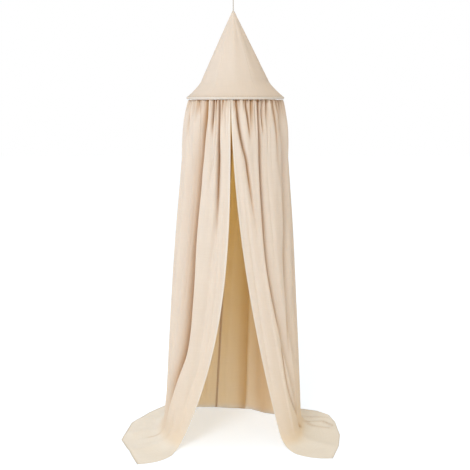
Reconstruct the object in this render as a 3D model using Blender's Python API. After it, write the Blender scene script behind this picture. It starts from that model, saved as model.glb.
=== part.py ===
"""A hanging canopy: a cloth cone on a hoop, with a gathered skirt that trails on the floor.

The origin is the top of the cord's loop, where the canopy hangs. +Z is up and -Y is the open front.
Shapes are worked out in heights above the floor, and finish() moves each piece into the part's own frame.
"""
import math
from collections import namedtuple

import bmesh
import bpy
import numpy as np

# Driving sizes, in metres. Heights are above the floor.
HANG_HEIGHT = 2.360
TIP_HEIGHT = 2.237
HOOP_HEIGHT = 1.804
HOOP_RADIUS = 0.244
HOOP_WIRE = 0.006
HOOP_SHIFT = 0.011
CLOTH = 0.002
CLOTH_CLEARANCE = 0.002
SEWN_GAP = 0.0008
TOUCH_GAP = 0.0003
CORD_WIDTH = 0.005

# Roof. Shares run from the tip (0) to the hoop (1).
ROOF_SEGMENTS = 48
ROOF_SHARES = (0.0, 0.20, 0.42, 0.62, 0.78, 0.87, 0.93, 0.97)
ROOF_STRAIGHT = 0.860
ROOF_FLARE_START = 0.83
ROOF_FLARE_POWER = 1.4
ROOF_RIPPLES = 11
ROOF_RIPPLE_DEPTH = 0.0015
TIP_HOLE_GAP = 0.0005
HEM_START_ANGLE = math.radians(43.0)
HEM_END_ANGLE = math.radians(-180.0)
HEM_STEPS = 7
HEM_TURN_UP = 0.0095
HOOP_SEGMENTS = 48
HOOP_SIDES = 8

# Cord and its knots.
KNOT_RADIUS = 0.006
KNOT_DROP = 0.0105
KNOT_SEGMENTS = 12
KNOT_RINGS = 8
LOOP_KNOT_RADIUS = 0.008
LOOP_HEIGHT = 0.050
LOOP_WIDTH = 0.030
LOOP_START = 0.087
LOOP_DROP_PEAK = 0.77
LOOP_POINTS = 23
CORD_SIDES = 8
CORD_POINTS = 7

# Skirt. Each panel is one width of cloth, from its front edge (share 0) to the seam at the back (share 1).
SKIRT_TOP_RADIUS = 0.248
SLIT_ANGLE = math.radians(-5.1)
SLIT_GAP = 0.004
SEAM_ANGLE = math.radians(180.0)
PUFF = 0.008
PUFF_SHARE = 0.16
BEND = 0.090
PANEL_COLUMNS = 58
COLUMN_CROWDING = 1.15
PANEL_ROWS = 22
ROW_CROWDING = 1.35
HANGING_STEPS = 60
LYING_STEPS = 30
BEND_STEPS = 14
FOLD_STATIONS = (0.0, 0.20, 0.45, 0.85)
FOLD_FADE_HEIGHT = 0.12
RIPPLE_FADE_HEIGHT = 0.04

# One row for each section across a panel. foot: where it meets the floor. hem: where its hem lies.
# bow: how far its run over the floor curves forward. spread: under 1 it flares at the top, over 1 low down.
Section = namedtuple("Section", "share foot_x foot_y hem_x hem_y bow spread")
LEFT_SECTIONS = (
    Section(0.00, -0.285, -0.262, -0.481, -0.443, 0.050, 3.20),
    Section(0.12, -0.322, -0.234, -0.540, -0.304, 0.035, 2.10),
    Section(0.24, -0.352, -0.188, -0.600, -0.165, 0.010, 1.40),
    Section(0.42, -0.378, -0.055, -0.574, 0.052, 0.000, 0.76),
    Section(0.54, -0.380, 0.045, -0.490, 0.198, 0.000, 0.74),
    Section(0.65, -0.362, 0.145, -0.402, 0.309, 0.000, 0.74),
    Section(0.74, -0.305, 0.225, -0.308, 0.305, 0.000, 0.78),
    Section(0.86, -0.205, 0.262, -0.202, 0.276, 0.000, 0.85),
    Section(1.00, -0.102, 0.266, -0.103, 0.274, 0.000, 0.90),
)
RIGHT_SECTIONS = (
    Section(0.00, 0.290, -0.262, 0.507, -0.379, 0.035, 2.10),
    Section(0.10, 0.322, -0.234, 0.556, -0.240, 0.030, 1.75),
    Section(0.20, 0.347, -0.187, 0.580, -0.104, 0.020, 1.45),
    Section(0.32, 0.368, -0.090, 0.575, 0.066, 0.000, 1.00),
    Section(0.40, 0.378, -0.010, 0.552, 0.163, 0.000, 0.80),
    Section(0.47, 0.380, 0.055, 0.489, 0.220, 0.000, 0.75),
    Section(0.55, 0.366, 0.122, 0.395, 0.252, 0.000, 0.74),
    Section(0.63, 0.314, 0.158, 0.322, 0.176, 0.000, 0.76),
    Section(0.70, 0.245, 0.161, 0.249, 0.169, 0.000, 0.80),
    Section(0.77, 0.178, 0.186, 0.181, 0.194, 0.000, 0.85),
    Section(0.85, 0.100, 0.240, 0.102, 0.248, 0.000, 0.90),
    Section(1.00, -0.102, 0.266, -0.103, 0.274, 0.000, 0.90),
)

# One row for each fold. top, under, middle, low: its share of the width at the four fold stations.
# deep_*: how deep it is there, below zero for a ridge. front, back: how wide its slopes are, the one
# towards the panel's front edge and the one away from it.
Fold = namedtuple("Fold", "top under middle low deep_top deep_under deep_middle deep_low front back")
LEFT_FOLDS = (
    Fold(0.077, 0.075, 0.085, 0.090, 0.004, 0.014, 0.003, 0.003, 0.010, 0.014),
    Fold(0.120, 0.126, 0.135, 0.150, 0.006, 0.002, 0.000, 0.000, 0.010, 0.016),
    Fold(0.135, 0.158, 0.174, 0.280, -0.001, -0.010, -0.012, -0.010, 0.050, 0.014),
    Fold(0.152, 0.182, 0.206, 0.330, 0.006, 0.038, 0.048, 0.034, 0.012, 0.045),
    Fold(0.235, 0.240, 0.255, 0.370, 0.007, 0.002, -0.003, -0.004, 0.012, 0.020),
    Fold(0.305, 0.302, 0.315, 0.410, 0.005, 0.012, 0.016, 0.014, 0.018, 0.030),
    Fold(0.375, 0.385, 0.405, 0.470, 0.005, 0.014, 0.020, 0.016, 0.016, 0.028),
    Fold(0.470, 0.480, 0.500, 0.540, 0.005, 0.022, 0.030, 0.026, 0.022, 0.028),
    Fold(0.560, 0.570, 0.585, 0.620, 0.005, 0.016, 0.022, 0.022, 0.024, 0.020),
    Fold(0.650, 0.650, 0.665, 0.700, 0.005, 0.026, 0.036, 0.030, 0.020, 0.030),
    Fold(0.735, 0.740, 0.750, 0.775, 0.005, 0.016, 0.020, 0.014, 0.022, 0.022),
    Fold(0.820, 0.825, 0.835, 0.850, 0.005, 0.026, 0.034, 0.022, 0.026, 0.022),
    Fold(0.905, 0.905, 0.910, 0.920, 0.005, 0.016, 0.018, 0.010, 0.020, 0.024),
)
RIGHT_FOLDS = (
    Fold(0.028, 0.082, 0.110, 0.120, 0.006, 0.006, 0.000, 0.000, 0.012, 0.018),
    Fold(0.098, 0.114, 0.130, 0.150, 0.006, 0.001, -0.005, -0.004, 0.012, 0.030),
    Fold(0.182, 0.174, 0.160, 0.280, 0.006, 0.022, 0.028, 0.024, 0.012, 0.040),
    Fold(0.245, 0.240, 0.225, 0.330, 0.005, 0.002, -0.004, -0.004, 0.014, 0.020),
    Fold(0.360, 0.355, 0.290, 0.330, 0.006, 0.032, 0.032, 0.012, 0.014, 0.032),
    Fold(0.480, 0.460, 0.400, 0.385, 0.005, 0.016, 0.022, 0.020, 0.018, 0.024),
    Fold(0.555, 0.545, 0.520, 0.500, 0.005, 0.020, 0.026, 0.022, 0.020, 0.026),
    Fold(0.630, 0.625, 0.610, 0.590, 0.005, 0.018, 0.022, 0.018, 0.024, 0.020),
    Fold(0.705, 0.705, 0.700, 0.680, 0.005, 0.010, 0.012, 0.010, 0.020, 0.026),
    Fold(0.780, 0.785, 0.790, 0.790, 0.005, 0.014, 0.016, 0.012, 0.022, 0.028),
    Fold(0.875, 0.880, 0.885, 0.890, 0.004, -0.006, -0.014, -0.012, 0.018, 0.018),
    Fold(0.940, 0.940, 0.950, 0.960, 0.005, 0.014, 0.014, 0.008, 0.020, 0.020),
)

# One row for each soft ridge in the cloth on the floor, from its start to its end.
Ripple = namedtuple("Ripple", "start_x start_y end_x end_y height width")
LEFT_RIPPLES = (
    Ripple(-0.34, -0.20, -0.52, -0.30, 0.010, 0.035),
    Ripple(-0.37, -0.04, -0.55, -0.10, 0.012, 0.035),
    Ripple(-0.38, 0.10, -0.52, 0.08, 0.012, 0.030),
)
RIGHT_RIPPLES = (
    Ripple(0.35, -0.16, 0.50, -0.24, 0.010, 0.035),
    Ripple(0.37, -0.04, 0.54, -0.09, 0.012, 0.026),
    Ripple(0.39, 0.09, 0.53, 0.05, 0.014, 0.030),
)


def clear_scene():
    """Remove the objects that a new file holds."""
    for item in list(bpy.data.objects):
        bpy.data.objects.remove(item, do_unlink=True)


def make_material(name, colour, roughness, metallic=0.0):
    """A plain Principled material with its own colour, roughness and metallic value."""
    material = bpy.data.materials.new(name)
    material.use_nodes = True
    shader = material.node_tree.nodes["Principled BSDF"]
    shader.inputs["Base Color"].default_value = (*colour, 1.0)
    shader.inputs["Roughness"].default_value = roughness
    shader.inputs["Metallic"].default_value = metallic
    return material


def finish(name, mesh, material):
    """Make an object of a mesh worked out above the floor, and move it into the part's frame."""
    item = bpy.data.objects.new(name, mesh)
    bpy.context.scene.collection.objects.link(item)
    item.location.z = -HANG_HEIGHT
    mesh.materials.append(material)
    mesh.shade_smooth()
    return item


def grid_faces(columns, rows, closed_columns=False, closed_rows=False):
    """Quads that join neighbours in a grid of points listed column by column."""
    faces = []
    for column in range(columns if closed_columns else columns - 1):
        beside = (column + 1) % columns
        for row in range(rows if closed_rows else rows - 1):
            below = (row + 1) % rows
            corners = ((column, row), (column, below), (beside, below), (beside, row))
            faces.append(tuple(across * rows + down for across, down in corners))
    return faces


def mesh_from_grid(name, grid, closed_columns=False, closed_rows=False):
    """A mesh of the quads of a grid of points."""
    columns, rows = grid.shape[:2]
    mesh = bpy.data.meshes.new(name)
    mesh.from_pydata(grid.reshape(-1, 3).tolist(), [], grid_faces(columns, rows, closed_columns, closed_rows))
    return mesh


def through(stations, values, wanted):
    """A smooth curve through the values given at some stations, read at each place wanted."""
    stations = np.asarray(stations, dtype=float)
    values = np.asarray(values, dtype=float)
    slopes = np.gradient(values, stations)
    index = np.clip(np.searchsorted(stations, wanted, side="right") - 1, 0, len(stations) - 2)
    width = stations[index + 1] - stations[index]
    step = np.clip((wanted - stations[index]) / width, 0.0, 1.0)
    rise = step * step * (3.0 - 2.0 * step)
    start_pull = step * (1.0 - step) ** 2 * slopes[index]
    end_pull = step * step * (step - 1.0) * slopes[index + 1]
    return values[index] * (1.0 - rise) + values[index + 1] * rise + width * (start_pull + end_pull)


def lengths_along(points):
    """The distance along a line of points, from its first to each of them."""
    steps = np.linalg.norm(np.diff(points, axis=0), axis=1)
    return np.concatenate(((0.0,), np.cumsum(steps)))


def read_line(points, distances):
    """The points at some distances along a line of points."""
    known = lengths_along(points)
    return np.column_stack([np.interp(distances, known, points[:, axis]) for axis in range(3)])


# Roof and hoop.

def roof_radius(share):
    """The roof's radius: straight from the tip, then flared where the cloth is drawn over the hoop."""
    tip = CORD_WIDTH / 2 + TIP_HOLE_GAP + CLOTH / 2
    flare = max(0.0, (share - ROOF_FLARE_START) / (1.0 - ROOF_FLARE_START)) ** ROOF_FLARE_POWER
    reach = ROOF_STRAIGHT * share + (1.0 - ROOF_STRAIGHT) * flare
    return tip + (HOOP_RADIUS - tip) * reach


def hem_wrap_radius():
    """The radius at which the middle of the hem's cloth goes round the hoop's wire."""
    return HOOP_WIRE / 2 + CLOTH_CLEARANCE + CLOTH / 2


def roof_line():
    """The middle of the roof's cloth, as (radius, height) from the tip to the end of its turned-up hem."""
    wrap = hem_wrap_radius()
    line = []
    for share in ROOF_SHARES:
        start_r = wrap * math.cos(HEM_START_ANGLE) * share
        start_z = wrap * math.sin(HEM_START_ANGLE) * share
        height = TIP_HEIGHT + (HOOP_HEIGHT - TIP_HEIGHT) * share
        line.append((roof_radius(share) + start_r, height + start_z))
    for step in range(HEM_STEPS + 1):
        angle = HEM_START_ANGLE + (HEM_END_ANGLE - HEM_START_ANGLE) * step / HEM_STEPS
        line.append((HOOP_RADIUS + wrap * math.cos(angle), HOOP_HEIGHT + wrap * math.sin(angle)))
    line.append((HOOP_RADIUS - wrap, HOOP_HEIGHT + HEM_TURN_UP))
    return np.array(line)


def thickened_line(line):
    """The closed outline of a line of cloth: its outer side down, then its inner side back up."""
    along = np.gradient(line, axis=0)
    along /= np.linalg.norm(along, axis=1, keepdims=True)
    side = np.column_stack((-along[:, 1], along[:, 0])) * CLOTH / 2
    return np.vstack((line + side, (line - side)[::-1]))


def build_roof(material):
    """The roof: the cloth's section turned about a line that leans from the tip to the hoop's middle."""
    section = thickened_line(roof_line())
    columns = []
    for number in range(ROOF_SEGMENTS):
        angle = 2.0 * math.pi * number / ROOF_SEGMENTS
        share = np.clip((TIP_HEIGHT - section[:, 1]) / (TIP_HEIGHT - HOOP_HEIGHT), 0.0, 1.0)
        ripple = ROOF_RIPPLE_DEPTH * math.sin(ROOF_RIPPLES * angle) * np.sin(math.pi * share)
        radius = section[:, 0] + ripple
        x = HOOP_SHIFT * share + radius * math.cos(angle)
        columns.append(np.column_stack((x, radius * math.sin(angle), section[:, 1])))
    return finish("roof", mesh_from_grid("roof", np.array(columns), True, True), material)


def ring_grid(centres, outs, ups, radius, sides):
    """Round sections at the centres of a path, each set out along its own two directions."""
    grid = np.zeros((len(centres), sides, 3))
    for side in range(sides):
        angle = 2.0 * math.pi * side / sides
        grid[:, side] = centres + radius * (math.cos(angle) * outs + math.sin(angle) * ups)
    return grid


def build_hoop(material):
    """The hoop: a round wire ring inside the roof's hem."""
    angles = np.linspace(0.0, 2.0 * math.pi, HOOP_SEGMENTS, endpoint=False)
    outs = np.column_stack((np.cos(angles), np.sin(angles), np.zeros(HOOP_SEGMENTS)))
    ups = np.tile((0.0, 0.0, 1.0), (HOOP_SEGMENTS, 1))
    centres = outs * HOOP_RADIUS + np.array((HOOP_SHIFT, 0.0, HOOP_HEIGHT))
    grid = ring_grid(centres, outs, ups, HOOP_WIRE / 2, HOOP_SIDES)
    return finish("hoop", mesh_from_grid("hoop", grid[:, ::-1], True, True), material)


# Skirt.

def heading_height():
    """The height of the skirt's top edge, just under the roof's hem."""
    return HOOP_HEIGHT - hem_wrap_radius() - CLOTH / 2 - SEWN_GAP


def heading_point(angle):
    """The point of the skirt's top edge at an angle from the front, turning towards +X."""
    x = HOOP_SHIFT + SKIRT_TOP_RADIUS * math.sin(angle)
    return np.array((x, -SKIRT_TOP_RADIUS * math.cos(angle), heading_height()))


def hanging_run(top, section):
    """Points from the top edge down to the floor."""
    drop = np.linspace(0.0, 1.0, HANGING_STEPS)
    reach = drop ** section.spread
    puff = PUFF / SKIRT_TOP_RADIUS * np.sin(math.pi * np.clip(drop / PUFF_SHARE, 0.0, 1.0))
    x = top[0] + (section.foot_x - top[0]) * reach + (top[0] - HOOP_SHIFT) * puff
    y = top[1] + (section.foot_y - top[1]) * reach + top[1] * puff
    return np.column_stack((x, y, top[2] + (CLOTH - top[2]) * drop))


def lying_run(section, hand):
    """Points from the foot over the floor to the hem."""
    along = np.linspace(0.0, 1.0, LYING_STEPS)
    run = np.array((section.hem_x - section.foot_x, section.hem_y - section.foot_y))
    forward = np.array((-hand * run[1], hand * run[0])) / np.linalg.norm(run)
    swing = 4.0 * section.bow * along * (1.0 - along)
    x = section.foot_x + run[0] * along + forward[0] * swing
    y = section.foot_y + run[1] * along + forward[1] * swing
    return np.column_stack((x, y, np.full(LYING_STEPS, CLOTH)))


def section_line(top, section, hand):
    """The section's whole way from top edge to hem, with a soft bend where it meets the floor."""
    hanging = hanging_run(top, section)
    lying = lying_run(section, hand)
    hung = lengths_along(hanging)[-1]
    laid = lengths_along(lying)[-1]
    soft = min(BEND, laid)
    upper = read_line(hanging, np.linspace(0.0, hung - soft, HANGING_STEPS))
    outer = read_line(lying, np.linspace(soft, laid, LYING_STEPS))
    turn = np.linspace(0.0, 1.0, BEND_STEPS + 2)[1:-1, None]
    bend = upper[-1] * (1.0 - turn) ** 2 + 2.0 * hanging[-1] * turn * (1.0 - turn) + outer[0] * turn ** 2
    return np.vstack((upper, bend, outer))


def sections_between(sections, shares):
    """A section at each share: smooth curves through the table, the hem straight between its rows."""
    known = [section.share for section in sections]
    columns = []
    for field in Section._fields:
        values = [getattr(section, field) for section in sections]
        straight = field.startswith("hem")
        columns.append(np.interp(shares, known, values) if straight else through(known, values, shares))
    return [Section(*values) for values in zip(*columns)]


def hull_grid(sections, hand, shares, rows):
    """A panel without its folds: a grid of points, by share of the width and share of the length."""
    slit = SLIT_ANGLE - hand * SLIT_GAP / 2 / SKIRT_TOP_RADIUS
    grid = np.zeros((len(shares), len(rows), 3))
    for number, section in enumerate(sections_between(sections, shares)):
        top = heading_point(slit + (-hand * SEAM_ANGLE - slit) * section.share)
        line = section_line(top, section, hand)
        grid[number] = read_line(line, rows * lengths_along(line)[-1])
    return grid


def outward(grid, hand):
    """The direction out of the cloth at each point of a panel's grid."""
    normal = hand * np.cross(np.gradient(grid, axis=0), np.gradient(grid, axis=1))
    return normal / np.linalg.norm(normal, axis=2, keepdims=True)


def fold_depths(folds, shares, rows, widths):
    """How far the folds draw the cloth in at each point of the grid."""
    depths = np.zeros((len(shares), len(rows)))
    for fold in folds:
        centre = through(FOLD_STATIONS, fold[0:4], rows)
        deep = through(FOLD_STATIONS, fold[4:8], rows)
        offset = (shares[:, None] - centre[None, :]) * widths[None, :]
        slope = np.where(offset < 0.0, fold.front, fold.back)
        depths += deep[None, :] * np.exp(-(offset / slope) ** 2)
    return depths


def ripple_heights(ripples, grid):
    """How high the ripples lift the cloth at each point of the grid."""
    heights = np.zeros(grid.shape[:2])
    for ripple in ripples:
        start = np.array((ripple.start_x, ripple.start_y))
        run = np.array((ripple.end_x, ripple.end_y)) - start
        offset = grid[:, :, :2] - start
        along = np.clip((offset @ run) / (run @ run), 0.0, 1.0)
        away = np.linalg.norm(offset - along[:, :, None] * run, axis=2)
        heights = np.maximum(heights, ripple.height * np.exp(-(away / ripple.width) ** 2))
    return heights


def build_panel(name, sections, folds, ripples, hand, material):
    """One skirt panel: the hull, drawn in at its folds and lifted at its ripples, one cloth thick."""
    last = 1.0 - SEWN_GAP / 2 / (math.pi * SKIRT_TOP_RADIUS)
    shares = last * np.linspace(0.0, 1.0, PANEL_COLUMNS) ** COLUMN_CROWDING
    rows = 1.0 - (1.0 - np.linspace(0.0, 1.0, PANEL_ROWS)) ** ROW_CROWDING
    grid = hull_grid(sections, hand, shares, rows)
    widths = np.linalg.norm(np.diff(grid, axis=0), axis=2).sum(axis=0) / last
    above = grid[:, :, 2] - CLOTH
    hung = np.clip(above / FOLD_FADE_HEIGHT, 0.0, 1.0)
    laid = np.clip(1.0 - above / RIPPLE_FADE_HEIGHT, 0.0, 1.0)
    grid -= outward(grid, hand) * (hung * fold_depths(folds, shares, rows, widths))[:, :, None]
    grid[:, :, 2] += laid * ripple_heights(ripples, grid)
    grid[:, :, 2] = np.maximum(grid[:, :, 2], CLOTH)
    panel = finish(name, mesh_from_grid(name, grid[::-hand]), material)
    thick = panel.modifiers.new("Cloth", "SOLIDIFY")
    thick.thickness = CLOTH
    thick.offset = -1.0
    thick.use_quality_normals = True
    return panel


# Cord and knots.

def loop_knot_height():
    """The height of the middle of the knot that closes the cord's loop."""
    return HANG_HEIGHT - CORD_WIDTH / 2 - LOOP_HEIGHT


def build_cord(material):
    """The taut cord from the stop knot up to the knot of the loop."""
    low = TIP_HEIGHT - KNOT_DROP + KNOT_RADIUS + TOUCH_GAP
    high = loop_knot_height() - LOOP_KNOT_RADIUS - TOUCH_GAP
    curve = bpy.data.curves.new("cord", "CURVE")
    curve.dimensions = "3D"
    curve.bevel_depth = CORD_WIDTH / 2
    curve.bevel_resolution = 2
    curve.use_fill_caps = True
    spline = curve.splines.new("POLY")
    spline.points.add(CORD_POINTS - 1)
    for number, point in enumerate(spline.points):
        point.co = (0.0, 0.0, low + (high - low) * number / (CORD_POINTS - 1), 1.0)
    item = bpy.data.objects.new("cord", curve)
    bpy.context.scene.collection.objects.link(item)
    item.location.z = -HANG_HEIGHT
    curve.materials.append(material)
    return item


def build_knot(name, radius, height, material):
    """A knot in the cord, as a small round lump."""
    shape = bmesh.new()
    bmesh.ops.create_uvsphere(shape, u_segments=KNOT_SEGMENTS, v_segments=KNOT_RINGS, radius=radius)
    bmesh.ops.translate(shape, verts=shape.verts, vec=(0.0, 0.0, height))
    mesh = bpy.data.meshes.new(name)
    shape.to_mesh(mesh)
    shape.free()
    return finish(name, mesh, material)


def loop_line():
    """The middle of the loop's cord: a drop shape that starts and ends inside its knot."""
    turn = np.linspace(LOOP_START, 1.0 - LOOP_START, LOOP_POINTS)
    x = LOOP_WIDTH / 2 / LOOP_DROP_PEAK * np.sin(2.0 * math.pi * turn) * np.sin(math.pi * turn)
    z = loop_knot_height() + LOOP_HEIGHT * np.sin(math.pi * turn) ** 2
    return np.column_stack((x, np.zeros(LOOP_POINTS), z))


def build_cord_loop(material):
    """The loop at the cord's top end, in one piece with the knot that closes it."""
    line = loop_line()
    along = np.gradient(line, axis=0)
    along /= np.linalg.norm(along, axis=1, keepdims=True)
    ups = np.tile((0.0, 1.0, 0.0), (LOOP_POINTS, 1))
    grid = ring_grid(line, np.cross(ups, along), ups, CORD_WIDTH / 2, CORD_SIDES)
    mesh = bpy.data.meshes.new("loop_cord")
    last = (LOOP_POINTS - 1) * CORD_SIDES
    caps = [tuple(reversed(range(CORD_SIDES))), tuple(range(last, last + CORD_SIDES))]
    faces = grid_faces(LOOP_POINTS, CORD_SIDES, closed_rows=True)
    mesh.from_pydata(grid.reshape(-1, 3).tolist(), [], faces + caps)
    guide = finish("loop_cord", mesh, material)
    guide.hide_render = True
    guide.display_type = "WIRE"
    knot = build_knot("cord_loop", LOOP_KNOT_RADIUS, loop_knot_height(), material)
    union = knot.modifiers.new("Loop", "BOOLEAN")
    union.operation = "UNION"
    union.solver = "EXACT"
    union.object = guide
    return knot


def main():
    """Build every piece of the canopy."""
    clear_scene()
    roof_cloth = make_material("roof cotton", (0.82, 0.68, 0.53), 0.85)
    skirt_cloth = make_material("skirt cotton", (0.80, 0.65, 0.49), 0.85)
    hoop_wire = make_material("hoop plastic", (0.85, 0.82, 0.76), 0.45)
    cord_cotton = make_material("cord cotton", (0.55, 0.48, 0.40), 0.80)
    build_roof(roof_cloth)
    build_hoop(hoop_wire)
    build_panel("skirt_left", LEFT_SECTIONS, LEFT_FOLDS, LEFT_RIPPLES, 1, skirt_cloth)
    build_panel("skirt_right", RIGHT_SECTIONS, RIGHT_FOLDS, RIGHT_RIPPLES, -1, skirt_cloth.copy())
    build_knot("stop_knot", KNOT_RADIUS, TIP_HEIGHT - KNOT_DROP, cord_cotton)
    build_cord(cord_cotton.copy())
    build_cord_loop(cord_cotton.copy())


main()
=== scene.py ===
"""The looks of a hanging cotton canopy.

The canopy is a cone roof drawn over a hoop, a gathered skirt in two panels that trail on the floor, and the
cord that it hangs from. Each sub-assembly is a class that builds its meshes in the frame's space and dresses
them. Cloth is a grid of points worked out in heights above the floor and thickened into a closed shell.
"""

import logging
import math
from dataclasses import dataclass, fields
from enum import Enum
from typing import Any, Callable, Sequence

import bpy
import numpy as np
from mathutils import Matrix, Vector


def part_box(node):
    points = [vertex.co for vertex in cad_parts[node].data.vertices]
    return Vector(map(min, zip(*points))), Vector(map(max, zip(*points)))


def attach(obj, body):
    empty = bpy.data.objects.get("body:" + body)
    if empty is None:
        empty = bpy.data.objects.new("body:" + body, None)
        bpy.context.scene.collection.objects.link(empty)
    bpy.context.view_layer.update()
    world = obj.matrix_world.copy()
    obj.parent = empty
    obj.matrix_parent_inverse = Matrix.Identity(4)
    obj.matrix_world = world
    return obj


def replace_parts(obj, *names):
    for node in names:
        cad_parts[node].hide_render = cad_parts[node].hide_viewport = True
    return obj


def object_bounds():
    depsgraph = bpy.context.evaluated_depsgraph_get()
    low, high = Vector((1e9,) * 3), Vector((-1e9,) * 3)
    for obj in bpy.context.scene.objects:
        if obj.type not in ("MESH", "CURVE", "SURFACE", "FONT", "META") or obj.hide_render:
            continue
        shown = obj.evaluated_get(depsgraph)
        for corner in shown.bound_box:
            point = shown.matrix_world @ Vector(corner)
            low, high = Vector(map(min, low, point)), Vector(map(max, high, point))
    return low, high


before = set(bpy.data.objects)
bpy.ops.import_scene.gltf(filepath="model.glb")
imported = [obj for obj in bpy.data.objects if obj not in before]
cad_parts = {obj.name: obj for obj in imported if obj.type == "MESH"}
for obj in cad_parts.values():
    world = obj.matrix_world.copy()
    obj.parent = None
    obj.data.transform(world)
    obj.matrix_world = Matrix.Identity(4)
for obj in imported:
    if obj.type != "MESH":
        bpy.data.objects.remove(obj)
CAD_LOW, CAD_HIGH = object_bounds()

LOG = logging.getLogger("canopy")
BODY = "root"
CLOTH_MAP = "Cloth"
BACKING = "backed"
# The mark of painted shade: where the cloth's colour is darkened towards a brown.
PAINTED_SHADE = "painted_shade"
MILLIMETRE = 0.001

Grid = np.ndarray
Node = bpy.types.Node
Tree = bpy.types.NodeTree
Socket = bpy.types.NodeSocket
Finish = bpy.types.Material
Piece = bpy.types.Object


class Slot(Enum):
    """The record's material slots."""

    ROOF = "roof_cloth"
    HOOP = "hoop_wire"
    SKIRT = "skirt_cloth"
    CORD = "cord_cotton"


class Hand(Enum):
    """The side of the front opening that a panel hangs on, seen from the front."""

    LEFT = 1
    RIGHT = -1


@dataclass(frozen=True)
class Hanging:
    """Where the frame's fixed parts are, in metres. Heights are above the floor."""

    floor: float
    top: float
    tip: float
    hoop: float
    hoop_shift: float
    hoop_radius: float
    wire: float

    @classmethod
    def read(cls) -> "Hanging":
        """Read the places from the frame's hoop, roof and box.

        Returns:
            The places that every sub-assembly is worked out from.
        """
        low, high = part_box("hoop")
        wire = high.z - low.z
        return cls(
            floor=CAD_LOW.z,
            top=CAD_HIGH.z - CAD_LOW.z,
            tip=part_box("roof")[1].z - CAD_LOW.z,
            hoop=(low.z + high.z) / 2 - CAD_LOW.z,
            hoop_shift=(low.x + high.x) / 2,
            hoop_radius=(high.x - low.x - wire) / 2,
            wire=wire,
        )


PLACES = Hanging.read()


# Cloth sizes that the roof and the skirt share, in metres.
CLOTH = 0.0009
SOLID_CLOTH = 0.002
HEM_WIDE = PLACES.wire / 2 + 0.0042
HEM_HIGH = PLACES.wire / 2 + 0.0036
SEWN_GAP = 0.0008
HEM_BACKING = 0.5


# Small helpers.

def linear(colour: str) -> tuple[float, float, float, float]:
    """Turn an sRGB hex colour to linear.

    Args:
        colour: Six hex digits, with or without a leading #.

    Returns:
        Red, green, blue and an alpha of 1, as a shader socket takes them.
    """
    digits = colour.lstrip("#")
    shares = [int(digits[place:place + 2], 16) / 255 for place in (0, 2, 4)]
    red, green, blue = (s / 12.92 if s <= 0.04045 else ((s + 0.055) / 1.055) ** 2.4 for s in shares)
    return red, green, blue, 1.0


def feed(tree: Tree, node: Node, links: dict[str | int, Any]) -> None:
    """Link a node's inputs or set their values.

    Args:
        tree: The node's tree.
        node: The node.
        links: For each input, by name or number, the output socket that feeds it or the value that it keeps.
    """
    for name, value in links.items():
        if isinstance(value, Socket):
            tree.links.new(value, node.inputs[name])
        else:
            node.inputs[name].default_value = value


def add_node(tree: Tree, kind: str, links: dict[str | int, Any] | None = None, **settings: Any) -> Node:
    """Add a node with its settings and links.

    Args:
        tree: The node tree it goes into.
        kind: The node's type name.
        links: What feeds its inputs, as for feed.
        **settings: The node's own properties.

    Returns:
        The node.
    """
    node = tree.nodes.new(kind)
    for name, value in settings.items():
        setattr(node, name, value)
    feed(tree, node, links or {})
    return node


def start_material(name: str) -> tuple[Finish, Tree, Node]:
    """Make a material with its own nodes.

    Args:
        name: Its name.

    Returns:
        The material, its node tree and its surface shader.
    """
    material = bpy.data.materials.new(name)
    material.use_nodes = True
    return material, material.node_tree, material.node_tree.nodes["Principled BSDF"]


def smooth(value: Grid | float, start: float, end: float) -> Grid:
    """Rise softly from 0 at start to 1 at end.

    Args:
        value: Where to read the rise.
        start: Where it leaves 0.
        end: Where it reaches 1.

    Returns:
        The rise at each value.
    """
    step = np.clip((value - start) / (end - start), 0.0, 1.0)
    return step * step * (3.0 - 2.0 * step)


def through(stations: Sequence[float], values: Sequence[float], wanted: Grid) -> Grid:
    """Read a smooth curve through the values given at some stations.

    Args:
        stations: Where the values stand, rising.
        values: The curve's value at each station.
        wanted: Where to read the curve.

    Returns:
        The curve's value at each place wanted.
    """
    stations = np.asarray(stations, dtype=float)
    values = np.asarray(values, dtype=float)
    slopes = np.gradient(values, stations)
    index = np.clip(np.searchsorted(stations, wanted, side="right") - 1, 0, len(stations) - 2)
    width = stations[index + 1] - stations[index]
    step = np.clip((wanted - stations[index]) / width, 0.0, 1.0)
    rise = step * step * (3.0 - 2.0 * step)
    start_pull = step * (1.0 - step) ** 2 * slopes[index]
    end_pull = step * step * (step - 1.0) * slopes[index + 1]
    return values[index] * (1.0 - rise) + values[index + 1] * rise + width * (start_pull + end_pull)


def lengths_along(points: Grid) -> Grid:
    """Measure a line of points.

    Args:
        points: The line.

    Returns:
        The distance along the line from its first point to each of them.
    """
    steps = np.linalg.norm(np.diff(points, axis=0), axis=1)
    return np.concatenate(((0.0,), np.cumsum(steps)))


def read_line(points: Grid, distances: Grid) -> Grid:
    """Find the points at some distances along a line.

    Args:
        points: The line.
        distances: How far along it each wanted point is.

    Returns:
        One point for each distance.
    """
    known = lengths_along(points)
    return np.column_stack([np.interp(distances, known, points[:, axis]) for axis in range(points.shape[1])])


def valley(offset: Grid, front: Grid | float, back: Grid | float, sharp: float = 2.0) -> Grid:
    """Shape a fold's section: 1 at its bottom, fading to 0 on both sides.

    Args:
        offset: The distance from its bottom, below zero on the front side.
        front: How wide the front slope is.
        back: How wide the back slope is.
        sharp: 2 for a round bottom, nearer 1 for a narrow one between round lobes.

    Returns:
        The share of the fold's depth at each offset.
    """
    slope = np.where(offset < 0.0, front, back)
    return np.exp(-np.abs(offset / slope) ** sharp)


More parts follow.
